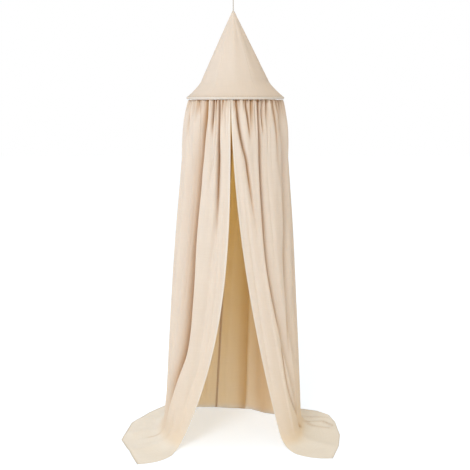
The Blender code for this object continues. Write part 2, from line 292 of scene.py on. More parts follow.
def spaced_by(density: Callable[[Grid], Grid], count: int) -> Grid:
    """Space shares from 0 to 1 closer where a density is higher.

    Args:
        density: The density at each share.
        count: How many shares there are.

    Returns:
        The shares, rising from 0 to 1.
    """
    fine = np.linspace(0.0, 1.0, 2001)
    total = np.concatenate(((0.0,), np.cumsum((density(fine[1:]) + density(fine[:-1])) / 2)))
    return np.interp(np.linspace(0.0, total[-1], count), total, fine)


def unit(vectors: Grid) -> Grid:
    """Scale vectors to length 1.

    Args:
        vectors: An array whose last axis holds the vectors.

    Returns:
        The same array with each vector one long.
    """
    return vectors / np.maximum(np.linalg.norm(vectors, axis=-1, keepdims=True), 1e-12)


def grid_faces(columns: int, rows: int, closed_columns: bool = False, closed_rows: bool = False) -> Grid:
    """Join neighbours in a grid of points by quads.

    Args:
        columns: How many columns of points there are.
        rows: How many points each column has.
        closed_columns: Whether the last column joins the first.
        closed_rows: Whether each column's last point joins its first.

    Returns:
        Four point numbers for each quad.
    """
    across = np.arange(columns if closed_columns else columns - 1)[:, None]
    down = np.arange(rows if closed_rows else rows - 1)[None, :]
    beside = (across + 1) % columns
    below = (down + 1) % rows
    corners = (across * rows + down, across * rows + below, beside * rows + below, beside * rows + down)
    return np.stack([corner.ravel() for corner in np.broadcast_arrays(*corners)], axis=1)


def round_angles(count: int) -> Grid:
    """Space angles evenly once round, from 0."""
    return np.linspace(0.0, 2.0 * math.pi, count, endpoint=False)


def add_object(name: str, data: bpy.types.ID) -> Piece:
    """Put a new object in the scene.

    Args:
        name: Its name.
        data: Its mesh, camera or light.

    Returns:
        The object.
    """
    made = bpy.data.objects.new(name, data)
    bpy.context.scene.collection.objects.link(made)
    return made


def make_piece(
    name: str, points: Grid, faces: list, flat: Grid | None = None, marks: dict[str, Grid] | None = None
) -> Piece:
    """Make a smooth mesh object, moved from heights above the floor into the frame's space.

    Args:
        name: The object's name.
        points: Its points, in metres above the floor.
        faces: Point numbers, a list for each face.
        flat: For each point, where it was on the flat cloth, in metres.
        marks: Attributes that the finish reads, each with a value for every point.

    Returns:
        The object, which rides on the frame's body.
    """
    mesh = bpy.data.meshes.new(name)
    moved = points.reshape(-1, 3) + np.array((0.0, 0.0, PLACES.floor))
    mesh.from_pydata(moved.tolist(), [], faces)
    if flat is not None:
        layer = mesh.uv_layers.new(name=CLOTH_MAP)
        corners = np.zeros(len(mesh.loops), dtype=np.int32)
        mesh.loops.foreach_get("vertex_index", corners)
        layer.data.foreach_set("uv", flat.reshape(-1, 2)[corners].ravel().astype(np.float32))
    for mark, values in (marks or {}).items():
        layer = mesh.attributes.new(mark, "FLOAT", "POINT")
        layer.data.foreach_set("value", values.ravel().astype(np.float32))
    mesh.shade_smooth()
    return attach(add_object(name, mesh), BODY)


def dress(piece: Piece, material: Finish) -> Piece:
    """Give a piece its material.

    Args:
        piece: The piece.
        material: Its finish.

    Returns:
        The piece.
    """
    piece.data.materials.clear()
    piece.data.materials.append(material)
    return piece


@dataclass(frozen=True)
class Stitches:
    """A row of machine stitches: short ends of thread, half sunk in the cloth."""

    pitch: float = 0.0045
    long: float = 0.0032
    thick: float = 0.0006
    rise: float = 0.2
    ring_places: tuple[float, ...] = (-0.5, -0.3, 0.3, 0.5)
    ring_sizes: tuple[float, ...] = (0.4, 1.0, 1.0, 0.4)
    cap: tuple[tuple[int, ...], ...] = ((0, 1, 2, 3), (0, 3, 4, 5))
    sides: int = 6

    def build(self, name: str, line: Grid, outward: Grid, material: Finish) -> Piece:
        """Build and dress one row.

        Args:
            name: The object's name.
            line: Points along the seam, on the cloth.
            outward: The direction out of the cloth at each of them.
            material: The thread's finish.

        Returns:
            The row of stitches as one object.
        """
        known = lengths_along(line)
        places = np.arange(self.pitch, known[-1] - self.pitch, self.pitch)
        out = unit(np.column_stack([np.interp(places, known, outward[:, axis]) for axis in range(3)]))
        centres = read_line(line, places) + self.rise * self.thick * out
        along = unit(read_line(line, places + self.long / 2) - read_line(line, places - self.long / 2))
        beside = np.cross(along, out)[:, None, :]
        turns = round_angles(self.sides)[None, :, None]
        ring = np.cos(turns) * out[:, None, :] + np.sin(turns) * beside
        rings = [
            centres[:, None, :] + along[:, None, :] * place * self.long + self.thick / 2 * size * ring
            for place, size in zip(self.ring_places, self.ring_sizes)
        ]
        first_cap = np.array(self.cap)
        last_cap = first_cap[:, ::-1] + (len(rings) - 1) * self.sides
        one = np.concatenate((grid_faces(len(rings), self.sides, closed_rows=True), first_cap, last_cap))
        shifts = np.arange(len(places)) * len(rings) * self.sides
        faces = (one[None, :, :] + shifts[:, None, None]).reshape(-1, 4)
        return dress(make_piece(name, np.stack(rings, axis=1), faces.tolist()), material)


@dataclass(frozen=True)
class Shell:
    """A closed thin body: an outer grid, and an inner one a cloth's thickness behind it.

    Attributes:
        outer: The outer points, by column and row.
        normals: The direction out of the cloth at each of them.
        thickness: The cloth's thickness at each of them.
        flat: Where each point was on the flat cloth, in metres.
        marks: Attributes that the finish reads, each with a value from 0 to 1 for every outer point.
    """

    outer: Grid
    normals: Grid
    thickness: Grid
    flat: Grid
    marks: dict[str, Grid]

    def build(self, name: str, closed: bool = False, flip: bool = False) -> Piece:
        """Make the shell's object.

        Args:
            name: The object's name.
            closed: Whether the last column joins the first.
            flip: Whether the columns run the other way round, so that the faces have to be turned.

        Returns:
            The object.
        """
        columns, rows = self.outer.shape[:2]
        count = columns * rows
        inner = self.outer - self.normals * self.thickness[:, :, None]
        front = grid_faces(columns, rows, closed_columns=closed)
        faces = [front, front[:, ::-1] + count]
        for rim in self.rims(columns, rows, closed):
            ahead, after = rim[:-1], rim[1:]
            faces.append(np.stack((ahead, ahead + count, after + count, after), axis=1))
        faces = np.concatenate(faces)
        if flip:
            faces = faces[:, ::-1]
        points = np.concatenate((self.outer.reshape(-1, 3), inner.reshape(-1, 3)))
        flat = np.tile(self.flat.reshape(-1, 2), (2, 1))
        marks = {mark: np.tile(values.ravel(), 2) for mark, values in self.marks.items()}
        return make_piece(name, points, faces.tolist(), flat, marks)

    @staticmethod
    def rims(columns: int, rows: int, closed: bool) -> list[Grid]:
        """List the outer grid's rims as point numbers, each in the order that faces them outward.

        Args:
            columns: How many columns the grid has.
            rows: How many rows it has.
            closed: Whether the last column joins the first.

        Returns:
            One rim round an open grid, or the top and bottom rims of a closed one. Each ends where it starts.
        """
        top = np.arange(columns) * rows
        bottom = top + rows - 1
        if closed:
            return [np.append(top, top[0]), np.append(bottom, bottom[0])[::-1]]
        left = np.arange(rows)
        right = left + (columns - 1) * rows
        return [np.concatenate((top, right[1:], bottom[::-1][1:], left[::-1][1:]))]


# Finishes.

@dataclass(frozen=True)
class CottonCloth:
    """Plain woven cotton muslin, washed and unbleached.

    Its matt threads give a soft cream surface. It is thin enough that light from behind comes through warmer,
    and less of it does where a hem lies double or the cloth lies on the floor. Where a mesh's painted-shade
    mark is set, in creases, gathers and seams and behind ripples, the colour is darkened towards a brown:
    painted shade.

    Real threads stand 0.5 mm apart, too fine for the render, so the weave is drawn every thread_mm, and
    slubs, where a thread is thicker for a few centimetres, every slub_mm. The tone adds up three noises of
    about 0.5 each. A wave_scale of 0.314 makes a wave one unit wide.
    """

    name: str
    light: str
    dark: str
    through: str
    through_share: float
    backed_share: float
    # The brown that painted shade darkens the colour towards.
    painted_shade: str = "AC8038"
    thread_mm: float = 2.4
    slub_mm: float = 7.0
    slub_long_mm: float = 90.0
    mottle_mm: float = 160.0
    tone_low: float = 1.15
    tone_high: float = 1.85
    roughness: float = 0.85
    ior: float = 1.5
    specular: float = 0.25
    sheen: float = 0.15
    bump_mm: float = 0.12
    slub_relief: float = 1.5
    wave_scale: float = 0.314
    wave_wander: float = 0.6

    def material(self) -> Finish:
        """Build the finish.

        Returns:
            The material.
        """
        material, tree, shader = start_material(self.name)
        cloth = add_node(tree, "ShaderNodeUVMap", uv_map=CLOTH_MAP).outputs["UV"]
        across = self.stretched_noise(tree, cloth, self.slub_long_mm, self.slub_mm)
        along = self.stretched_noise(tree, cloth, self.slub_mm, self.slub_long_mm)
        slubs = add_node(tree, "ShaderNodeMath", {0: across, 1: along}, operation="ADD").outputs[0]
        mottle = self.stretched_noise(tree, cloth, self.mottle_mm, self.mottle_mm)
        tone = add_node(tree, "ShaderNodeMath", {0: slubs, 1: mottle}, operation="ADD").outputs[0]
        tones = {"Value": tone, "From Min": self.tone_low, "From Max": self.tone_high}
        share = add_node(tree, "ShaderNodeMapRange", tones).outputs["Result"]
        shades = {0: share, 6: linear(self.dark), 7: linear(self.light)}
        colour = add_node(tree, "ShaderNodeMix", shades, data_type="RGBA").outputs[2]
        # Painted shade: the mesh's painted-shade mark darkens the colour towards the brown.
        painted_shade = add_node(tree, "ShaderNodeAttribute", attribute_name=PAINTED_SHADE).outputs["Fac"]
        painted_shade_mix = {0: painted_shade, 6: colour, 7: linear(self.painted_shade)}
        colour = add_node(tree, "ShaderNodeMix", painted_shade_mix, data_type="RGBA").outputs[2]
        feed(tree, shader, {
            "Base Color": colour,
            "Roughness": self.roughness,
            "IOR": self.ior,
            "Specular IOR Level": self.specular,
            "Sheen Weight": self.sheen,
            "Normal": self.weave_bump(tree, cloth, slubs),
        })
        glow = add_node(tree, "ShaderNodeBsdfTranslucent", {"Color": linear(self.through)}).outputs["BSDF"]
        backed = add_node(tree, "ShaderNodeAttribute", attribute_name=BACKING).outputs["Fac"]
        lit = {"Value": backed, "To Min": self.through_share, "To Max": self.backed_share}
        share = add_node(tree, "ShaderNodeMapRange", lit).outputs["Result"]
        both = add_node(tree, "ShaderNodeMixShader", {0: share, 1: shader.outputs["BSDF"], 2: glow})
        feed(tree, tree.nodes["Material Output"], {"Surface": both.outputs["Shader"]})
        return material

    @staticmethod
    def stretched_noise(tree: Tree, cloth: Socket, wide_mm: float, high_mm: float) -> Socket:
        """Add a noise whose grains have a size on the cloth.

        Args:
            tree: The material's node tree.
            cloth: Where each point is on the flat cloth.
            wide_mm: The grains' size across the cloth.
            high_mm: Their size along it.

        Returns:
            The noise, about 0.5 on average.
        """
        scale = (1.0 / (wide_mm * MILLIMETRE), 1.0 / (high_mm * MILLIMETRE), 1.0)
        place = add_node(tree, "ShaderNodeMapping", {"Vector": cloth, "Scale": scale}).outputs["Vector"]
        return add_node(tree, "ShaderNodeTexNoise", {"Vector": place, "Scale": 1.0}).outputs["Fac"]

    def weave_bump(self, tree: Tree, cloth: Socket, slubs: Socket) -> Socket:
        """Add the relief of warp and weft threads and their slubs.

        Args:
            tree: The material's node tree.
            cloth: Where each point is on the flat cloth.
            slubs: How thick the threads are at each point.

        Returns:
            The bent normal.
        """
        scale = (1.0 / (self.thread_mm * MILLIMETRE),) * 3
        place = add_node(tree, "ShaderNodeMapping", {"Vector": cloth, "Scale": scale}).outputs["Vector"]
        thread = {"Vector": place, "Scale": self.wave_scale, "Distortion": self.wave_wander, "Detail": 1.0}
        warp = add_node(tree, "ShaderNodeTexWave", thread, bands_direction="X").outputs["Fac"]
        weft = add_node(tree, "ShaderNodeTexWave", thread, bands_direction="Y").outputs["Fac"]
        weave = add_node(tree, "ShaderNodeMath", {0: warp, 1: weft}, operation="MULTIPLY").outputs[0]
        layers = {0: slubs, 1: self.slub_relief, 2: weave}
        relief = add_node(tree, "ShaderNodeMath", layers, operation="MULTIPLY_ADD").outputs[0]
        bump = {"Height": relief, "Distance": self.bump_mm * MILLIMETRE, "Strength": 1.0}
        return add_node(tree, "ShaderNodeBump", bump).outputs["Normal"]


@dataclass(frozen=True)
class GrainedSolid:
    """A plain solid whose tone wanders between two shades from grain to grain.

    Cotton fibres and the marks of a tube's drawing are finer than the render shows, so the grain is drawn
    every grain_mm. A relief of 0 leaves the surface smooth.
    """

    name: str
    light: str
    dark: str
    grain_mm: float
    roughness: float
    ior: float = 1.5
    detail: float = 2.0
    relief_mm: float = 0.0
    strength: float = 0.6

    def material(self) -> Finish:
        """Build the finish.

        Returns:
            The material.
        """
        material, tree, shader = start_material(self.name)
        place = add_node(tree, "ShaderNodeTexCoord").outputs["Object"]
        grain = {"Vector": place, "Scale": 1.0 / (self.grain_mm * MILLIMETRE), "Detail": self.detail}
        noise = add_node(tree, "ShaderNodeTexNoise", grain).outputs["Fac"]
        shades = {0: noise, 6: linear(self.dark), 7: linear(self.light)}
        colour = add_node(tree, "ShaderNodeMix", shades, data_type="RGBA").outputs[2]
        feed(tree, shader, {"Base Color": colour, "Roughness": self.roughness, "IOR": self.ior})
        if self.relief_mm:
            relief = {"Height": noise, "Distance": self.relief_mm * MILLIMETRE, "Strength": self.strength}
            bump = add_node(tree, "ShaderNodeBump", relief).outputs["Normal"]
            feed(tree, shader, {"Normal": bump})
        return material


# Both are the same cream muslin. The roof's copy is a little darker, which is painted shade, and lets a
# little less light through. The roof's is matched a little darker and lets a little less light through.
SKIRT_COTTON = CottonCloth("cotton muslin, skirt", "EEEFED", "E8E8E5", "FBDC8C", 0.42, 0.24)
SHADED_ROOF_COTTON = CottonCloth("cotton muslin, roof", "E4E4E2", "DEDEDB", "FBDC8C", 0.40, 0.20)
# Extruded polyethylene tube is smooth, pale and half matt.
HOOP_TUBE = GrainedSolid("extruded polyethylene, pale", "EFE9DC", "E6DFD0", 12.0, 0.45, ior=1.51)
# Twisted cotton is matt, with lighter and darker fibres that stand out a little.
GREY_CORD = GrainedSolid(
    "twisted cotton cord, grey beige", "C4BDB4", "9E958A", 1.2, 0.8, detail=3.0, relief_mm=0.2
)
SEWING_THREAD = GrainedSolid("sewing thread, cream", "F4E8D6", "DCC9AE", 1.5, 0.8, detail=3.0, relief_mm=0.2)


# The skirt's types and tables.

@dataclass(frozen=True)
class Layout:
    """Where a panel's points lie on its cloth.

    Attributes:
        shares: The columns' shares of the width.
        rows: The rows' shares of the length.
        widths: How wide the cloth is at each row.
        down: How far down the cloth each point is.
    """

    shares: Grid
    rows: Grid
    widths: Grid
    down: Grid

    def beside(self, centre: Grid | float) -> Grid:
        """Measure across the cloth from a line that runs down it.

        Args:
            centre: The line's share of the width, one for all rows or one for each.

        Returns:
            The distance of each point from the line, below zero on the front edge's side.
        """
        return (self.shares[:, None] - centre) * self.widths[None, :]


@dataclass(frozen=True)
class Section:
    """One line down a panel: foot is where it meets the floor, hem is where its hem lies.

    bow is how far its run over the floor curves forward. spread under 1 flares at the top, over 1 low down.
    """

    share: float
    foot_x: float
    foot_y: float
    hem_x: float
    hem_y: float
    bow: float
    spread: float


@dataclass(frozen=True)
class Fold:
    """A fold down the whole panel: its share of the width, and its depth, at the four fold stations.

    Depths below zero are ridges. front and back are how wide its two slopes are.
    """

    top: float
    under: float
    middle: float
    low: float
    deep_top: float
    deep_under: float
    deep_middle: float
    deep_low: float
    front: float
    back: float


@dataclass(frozen=True)
class Crease:
    """A fold with its own path: its share of the width and its depth at some rows.

    Depths below zero are ridges. front and back are how wide its two slopes are. painted_shade_strength is
    how dark the painted shade is where the crease is deepest.
    """

    rows: tuple[float, ...]
    shares: tuple[float, ...]
    depths: tuple[float, ...]
    front: float
    back: float
    painted_shade_strength: float = 0.0

    def deep(self, rows: Grid) -> Grid:
        """Read the depth at each row, nothing above the first and below the last."""
        return np.interp(rows, self.rows, self.depths, right=0.0) * (rows >= self.rows[0])

    def section(self, layout: Layout, sharp: float) -> Grid:
        """Shape the fold over a whole panel.

        Args:
            layout: Where the panel's points lie.
            sharp: How narrow its bottom is.

        Returns:
            The share of its depth at each point.
        """
        centre = through(self.rows, self.shares, layout.rows)
        return valley(layout.beside(centre), self.front, self.back, sharp)


@dataclass(frozen=True)
class Ripple:
    """A soft ridge in the cloth on the floor, from its start to its end.

    front and back are how wide its slopes are, towards the viewer and away. Its painted_shade_strength is how
    dark the line of painted shadow along its back is.
    """

    start_x: float
    start_y: float
    end_x: float
    end_y: float
    height: float
    front: float
    back: float
    painted_shade_strength: float = 0.0


LEFT_SECTIONS = (
    Section(0.00, -0.285, -0.262, -0.481, -0.443, 0.050, 3.20),
    Section(0.12, -0.322, -0.234, -0.540, -0.304, 0.035, 2.10),
    Section(0.24, -0.358, -0.188, -0.600, -0.165, 0.010, 1.40),
    Section(0.42, -0.387, -0.055, -0.574, 0.052, 0.000, 0.80),
    Section(0.54, -0.388, 0.045, -0.490, 0.198, 0.000, 0.76),
    Section(0.65, -0.362, 0.145, -0.402, 0.309, 0.000, 0.74),
    Section(0.74, -0.305, 0.225, -0.308, 0.305, 0.000, 0.78),
    Section(0.86, -0.205, 0.262, -0.202, 0.276, 0.000, 0.85),
    Section(1.00, -0.102, 0.266, -0.103, 0.274, 0.000, 0.90),
)
RIGHT_SECTIONS = (
    Section(0.00, 0.263, -0.262, 0.507, -0.379, 0.042, 1.76),
    Section(0.10, 0.314, -0.234, 0.556, -0.240, 0.030, 1.65),
    Section(0.20, 0.347, -0.187, 0.580, -0.104, 0.020, 1.45),
    Section(0.32, 0.368, -0.090, 0.575, 0.066, 0.000, 0.92),
    Section(0.40, 0.378, -0.010, 0.552, 0.163, 0.000, 0.71),
    Section(0.47, 0.380, 0.055, 0.489, 0.220, 0.000, 0.67),
    Section(0.55, 0.366, 0.122, 0.395, 0.252, 0.000, 0.74),
    Section(0.63, 0.314, 0.158, 0.322, 0.176, 0.000, 0.76),
    Section(0.70, 0.245, 0.161, 0.249, 0.169, 0.000, 0.80),
    Section(0.77, 0.178, 0.186, 0.181, 0.194, 0.000, 0.85),
    Section(0.85, 0.100, 0.240, 0.102, 0.248, 0.000, 0.90),
    Section(1.00, -0.102, 0.266, -0.103, 0.274, 0.000, 0.90),
)
FOLD_STATIONS = (0.0, 0.20, 0.45, 0.85)
LEFT_FOLDS = (
    Fold(0.077, 0.075, 0.085, 0.090, 0.004, 0.014, 0.003, 0.003, 0.010, 0.014),
    Fold(0.120, 0.126, 0.135, 0.150, 0.006, 0.002, 0.000, 0.000, 0.010, 0.016),
    Fold(0.235, 0.240, 0.255, 0.370, 0.007, 0.002, -0.003, -0.004, 0.012, 0.020),
    Fold(0.305, 0.302, 0.315, 0.410, 0.005, 0.012, 0.016, 0.014, 0.018, 0.030),
    Fold(0.375, 0.385, 0.405, 0.470, 0.005, 0.014, 0.020, 0.016, 0.016, 0.028),
    Fold(0.470, 0.480, 0.500, 0.540, 0.005, 0.022, 0.030, 0.026, 0.022, 0.028),
    Fold(0.560, 0.570, 0.585, 0.620, 0.005, 0.016, 0.022, 0.022, 0.024, 0.020),
    Fold(0.650, 0.650, 0.665, 0.700, 0.005, 0.026, 0.036, 0.030, 0.020, 0.030),
    Fold(0.735, 0.740, 0.750, 0.775, 0.005, 0.016, 0.020, 0.014, 0.022, 0.022),
    Fold(0.820, 0.825, 0.835, 0.850, 0.005, 0.026, 0.034, 0.022, 0.026, 0.022),
    Fold(0.905, 0.905, 0.910, 0.920, 0.005, 0.016, 0.018, 0.010, 0.020, 0.024),
)
RIGHT_FOLDS = (
    Fold(0.028, 0.082, 0.110, 0.120, 0.006, 0.006, 0.000, 0.000, 0.012, 0.018),
    Fold(0.098, 0.114, 0.130, 0.150, 0.006, 0.001, -0.005, -0.004, 0.012, 0.030),
    Fold(0.182, 0.174, 0.160, 0.280, 0.006, 0.022, 0.028, 0.024, 0.012, 0.040),
    Fold(0.245, 0.240, 0.225, 0.330, 0.005, 0.002, -0.004, -0.004, 0.014, 0.020),
    Fold(0.360, 0.355, 0.290, 0.330, 0.006, 0.032, 0.032, 0.012, 0.014, 0.032),
    Fold(0.480, 0.460, 0.400, 0.385, 0.005, 0.016, 0.022, 0.020, 0.018, 0.024),
    Fold(0.555, 0.545, 0.520, 0.500, 0.005, 0.020, 0.026, 0.022, 0.020, 0.026),
    Fold(0.630, 0.625, 0.610, 0.590, 0.005, 0.018, 0.022, 0.018, 0.024, 0.020),
    Fold(0.705, 0.705, 0.700, 0.680, 0.005, 0.010, 0.012, 0.010, 0.020, 0.026),
    Fold(0.780, 0.785, 0.790, 0.790, 0.005, 0.014, 0.016, 0.012, 0.022, 0.028),
    Fold(0.875, 0.880, 0.885, 0.890, 0.004, -0.006, -0.014, -0.012, 0.018, 0.018),
    Fold(0.940, 0.940, 0.950, 0.960, 0.005, 0.014, 0.014, 0.008, 0.020, 0.020),
)
DEEP_ROWS = (
    0.0, 0.06, 0.12, 0.16, 0.22, 0.3, 0.37, 0.45, 0.53, 0.6, 0.65, 0.71, 0.8, 0.9,
)
DEEP_RIDGE = (
    0.153, 0.16, 0.173, 0.18, 0.187, 0.192, 0.189, 0.176, 0.164, 0.155, 0.159, 0.196, 0.26, 0.326,
)
DEEP_VALLEY = (
    0.166, 0.173, 0.186, 0.193, 0.201, 0.206, 0.203, 0.19, 0.178, 0.169, 0.173, 0.21, 0.274, 0.34,
)
LEFT_CREASES = (
    Crease((0.0, 0.03, 0.06, 0.1), (0.034, 0.034, 0.031, 0.03), (0.006, 0.008, 0.005, 0.0), 0.003, 0.004),
    Crease((0.0, 0.02, 0.06, 0.12, 0.18, 0.26, 0.34), (0.076, 0.075, 0.075, 0.08, 0.081, 0.078, 0.076),
           (0.012, 0.018, 0.024, 0.022, 0.016, 0.006, 0.0), 0.0034, 0.005, 0.8),
    Crease((0.01, 0.05, 0.08, 0.12, 0.18, 0.24), (0.092, 0.093, 0.096, 0.107, 0.128, 0.14),
           (0.0, 0.007, 0.01, 0.009, 0.006, 0.0), 0.004, 0.006),
    Crease((0.0, 0.02, 0.04, 0.06, 0.09), (0.122, 0.12, 0.12, 0.122, 0.124),
           (0.016, 0.024, 0.02, 0.01, 0.0), 0.0045, 0.0055, 0.8),
    Crease(DEEP_ROWS, DEEP_RIDGE,
           (0.0, -0.002, -0.006, -0.009, -0.011, -0.012, -0.012, -0.012, -0.012, -0.01, -0.009, -0.007,
            -0.004, 0.0), 0.05, 0.006),
    Crease(DEEP_ROWS, DEEP_VALLEY,
           (0.022, 0.026, 0.032, 0.04, 0.048, 0.05, 0.05, 0.046, 0.04, 0.034, 0.03, 0.022, 0.014, 0.0),
           0.006, 0.018, 1.0),
    Crease(DEEP_ROWS, DEEP_VALLEY,
           (0.0, 0.004, 0.01, 0.014, 0.02, 0.024, 0.028, 0.028, 0.026, 0.022, 0.02, 0.014, 0.006, 0.0),
           0.008, 0.05, 0.6),
    Crease((0.0, 0.02, 0.06, 0.11, 0.16), (0.229, 0.224, 0.216, 0.219, 0.224),
           (0.01, 0.014, 0.013, 0.007, 0.0), 0.004, 0.006),
    Crease((0.0, 0.02, 0.05, 0.08), (0.324, 0.314, 0.308, 0.304), (0.009, 0.012, 0.006, 0.0), 0.004, 0.005),
    Crease((0.0, 0.02, 0.05, 0.1, 0.16), (0.374, 0.356, 0.342, 0.33, 0.324),
           (0.01, 0.015, 0.012, 0.006, 0.0), 0.005, 0.008),
    Crease((0.06, 0.15, 0.25, 0.35, 0.45, 0.6), (0.252, 0.249, 0.252, 0.253, 0.248, 0.244),
           (0.0, 0.005, 0.006, 0.006, 0.005, 0.0), 0.009, 0.016),
    Crease((0.08, 0.2, 0.3, 0.41, 0.5, 0.6, 0.72), (0.3, 0.298, 0.296, 0.302, 0.296, 0.288, 0.3),
           (0.0, 0.006, 0.008, 0.008, 0.007, 0.005, 0.0), 0.01, 0.02),
    Crease((0.26, 0.37, 0.49, 0.6, 0.67, 0.76, 0.86), (0.092, 0.09, 0.086, 0.077, 0.068, 0.093, 0.14),
           (0.0, 0.004, 0.006, 0.007, 0.007, 0.005, 0.0), 0.012, 0.02),
    Crease((0.12, 0.24, 0.36, 0.48, 0.59, 0.7), (0.048, 0.049, 0.052, 0.043, 0.036, 0.03),
           (0.0, 0.003, 0.0045, 0.004, 0.003, 0.0), 0.008, 0.012),
    Crease((0.78, 0.84, 0.89, 0.95), (0.18, 0.194, 0.225, 0.28), (0.0, 0.006, 0.008, 0.0), 0.016, 0.02),
)
LONG_ROWS = (
    0.0, 0.02, 0.05, 0.1, 0.14, 0.22, 0.28, 0.36, 0.41, 0.46, 0.51, 0.57, 0.65, 0.76, 0.84, 0.87,
)
LONG_SHARES = (
    0.176, 0.175, 0.172, 0.175, 0.176, 0.17, 0.168, 0.157, 0.153, 0.159, 0.169, 0.185, 0.173, 0.185, 0.272,
    0.3,
)
RIGHT_CREASES = (
    Crease((0.0, 0.01, 0.03, 0.07, 0.11, 0.14, 0.18, 0.21, 0.27, 0.34),
           (0.03, 0.031, 0.034, 0.043, 0.059, 0.076, 0.085, 0.09, 0.098, 0.108),
           (0.01, 0.014, 0.02, 0.022, 0.02, 0.017, 0.013, 0.009, 0.004, 0.0), 0.0045, 0.0075, 0.8),
    Crease((0.0, 0.02, 0.04, 0.07, 0.1), (0.09, 0.092, 0.098, 0.105, 0.11),
           (0.012, 0.018, 0.019, 0.01, 0.0), 0.004, 0.006, 0.8),
    Crease((0.0, 0.03, 0.06, 0.1), (0.154, 0.147, 0.147, 0.149), (0.007, 0.01, 0.008, 0.0), 0.0035, 0.005),
    Crease((0.0, 0.01, 0.03, 0.05, 0.09), (0.2, 0.202, 0.2, 0.2, 0.203), (0.012, 0.02, 0.023, 0.014, 0.0),
           0.004, 0.005, 0.8),
    Crease(LONG_ROWS, LONG_SHARES,
           (0.004, 0.012, 0.02, 0.024, 0.024, 0.022, 0.018, 0.017, 0.018, 0.018, 0.017, 0.015, 0.014, 0.016,
            0.024, 0.0), 0.0055, 0.01, 0.45),
    Crease((0.0, 0.02, 0.05, 0.1, 0.15), (0.243, 0.238, 0.234, 0.234, 0.236),
           (0.007, 0.009, 0.008, 0.005, 0.0), 0.004, 0.006),
    Crease((0.0, 0.02, 0.06, 0.11, 0.19, 0.28, 0.35, 0.48, 0.56, 0.66),
           (0.37, 0.357, 0.339, 0.336, 0.334, 0.319, 0.314, 0.282, 0.255, 0.25),
           (0.014, 0.02, 0.024, 0.022, 0.018, 0.014, 0.012, 0.01, 0.008, 0.0), 0.005, 0.009, 0.8),
    Crease((0.0, 0.03, 0.06, 0.1, 0.26, 0.4, 0.58, 0.7),
           (0.448, 0.424, 0.444, 0.441, 0.421, 0.408, 0.331, 0.32),
           (0.01, 0.012, 0.01, 0.008, 0.008, 0.008, 0.006, 0.0), 0.006, 0.012),
    Crease((0.08, 0.19, 0.3, 0.4, 0.5, 0.61, 0.72), (0.226, 0.224, 0.222, 0.215, 0.21, 0.205, 0.21),
           (0.0, 0.006, 0.007, 0.006, 0.005, 0.004, 0.0), 0.009, 0.014),
    Crease((0.12, 0.24, 0.34, 0.44, 0.55, 0.67, 0.76), (0.056, 0.056, 0.055, 0.052, 0.046, 0.036, 0.03),
           (0.0, 0.004, 0.005, 0.005, 0.004, 0.003, 0.0), 0.009, 0.013),
    Crease((0.62, 0.74, 0.8, 0.845, 0.87), (0.215, 0.236, 0.275, 0.3, 0.32), (0.0, 0.01, 0.022, 0.03, 0.02),
           0.006, 0.01, 1.0),
    Crease((0.2, 0.4, 0.6, 0.8, 1.0), (0.88, 0.88, 0.88, 0.88, 0.88), (0.0, -0.02, -0.03, -0.03, -0.02),
           0.006, 0.034, 0.6),
    # A wide zone at the back right, only a millimetre deep: mostly painted shade.
    Crease((0.35, 0.7, 0.9, 1.0), (0.81, 0.79, 0.78, 0.78), (0.0, 0.0005, 0.001, 0.001), 0.12, 0.07, 0.5),
)
LEFT_RIPPLES = (
    Ripple(-0.34, -0.20, -0.52, -0.30, 0.010, 0.035, 0.035),
    Ripple(-0.36, -0.13, -0.45, -0.15, 0.010, 0.030, 0.012, 0.5),
    Ripple(-0.37, -0.04, -0.55, -0.10, 0.014, 0.035, 0.030),
    Ripple(-0.38, 0.10, -0.52, 0.08, 0.014, 0.030, 0.024),
)
RIGHT_RIPPLES = (
    Ripple(0.35, -0.16, 0.50, -0.24, 0.010, 0.035, 0.035),
    Ripple(0.35, -0.01, 0.42, 0.03, 0.014, 0.045, 0.012, 0.6),
    Ripple(0.42, 0.00, 0.52, -0.03, 0.008, 0.030, 0.016, 0.3),
    Ripple(0.40, 0.05, 0.50, 0.06, 0.010, 0.022, 0.012, 0.4),
    Ripple(0.50, 0.06, 0.54, 0.015, 0.010, 0.016, 0.012, 0.4),
    Ripple(0.41, 0.12, 0.52, 0.11, 0.010, 0.018, 0.016, 0.3),
)


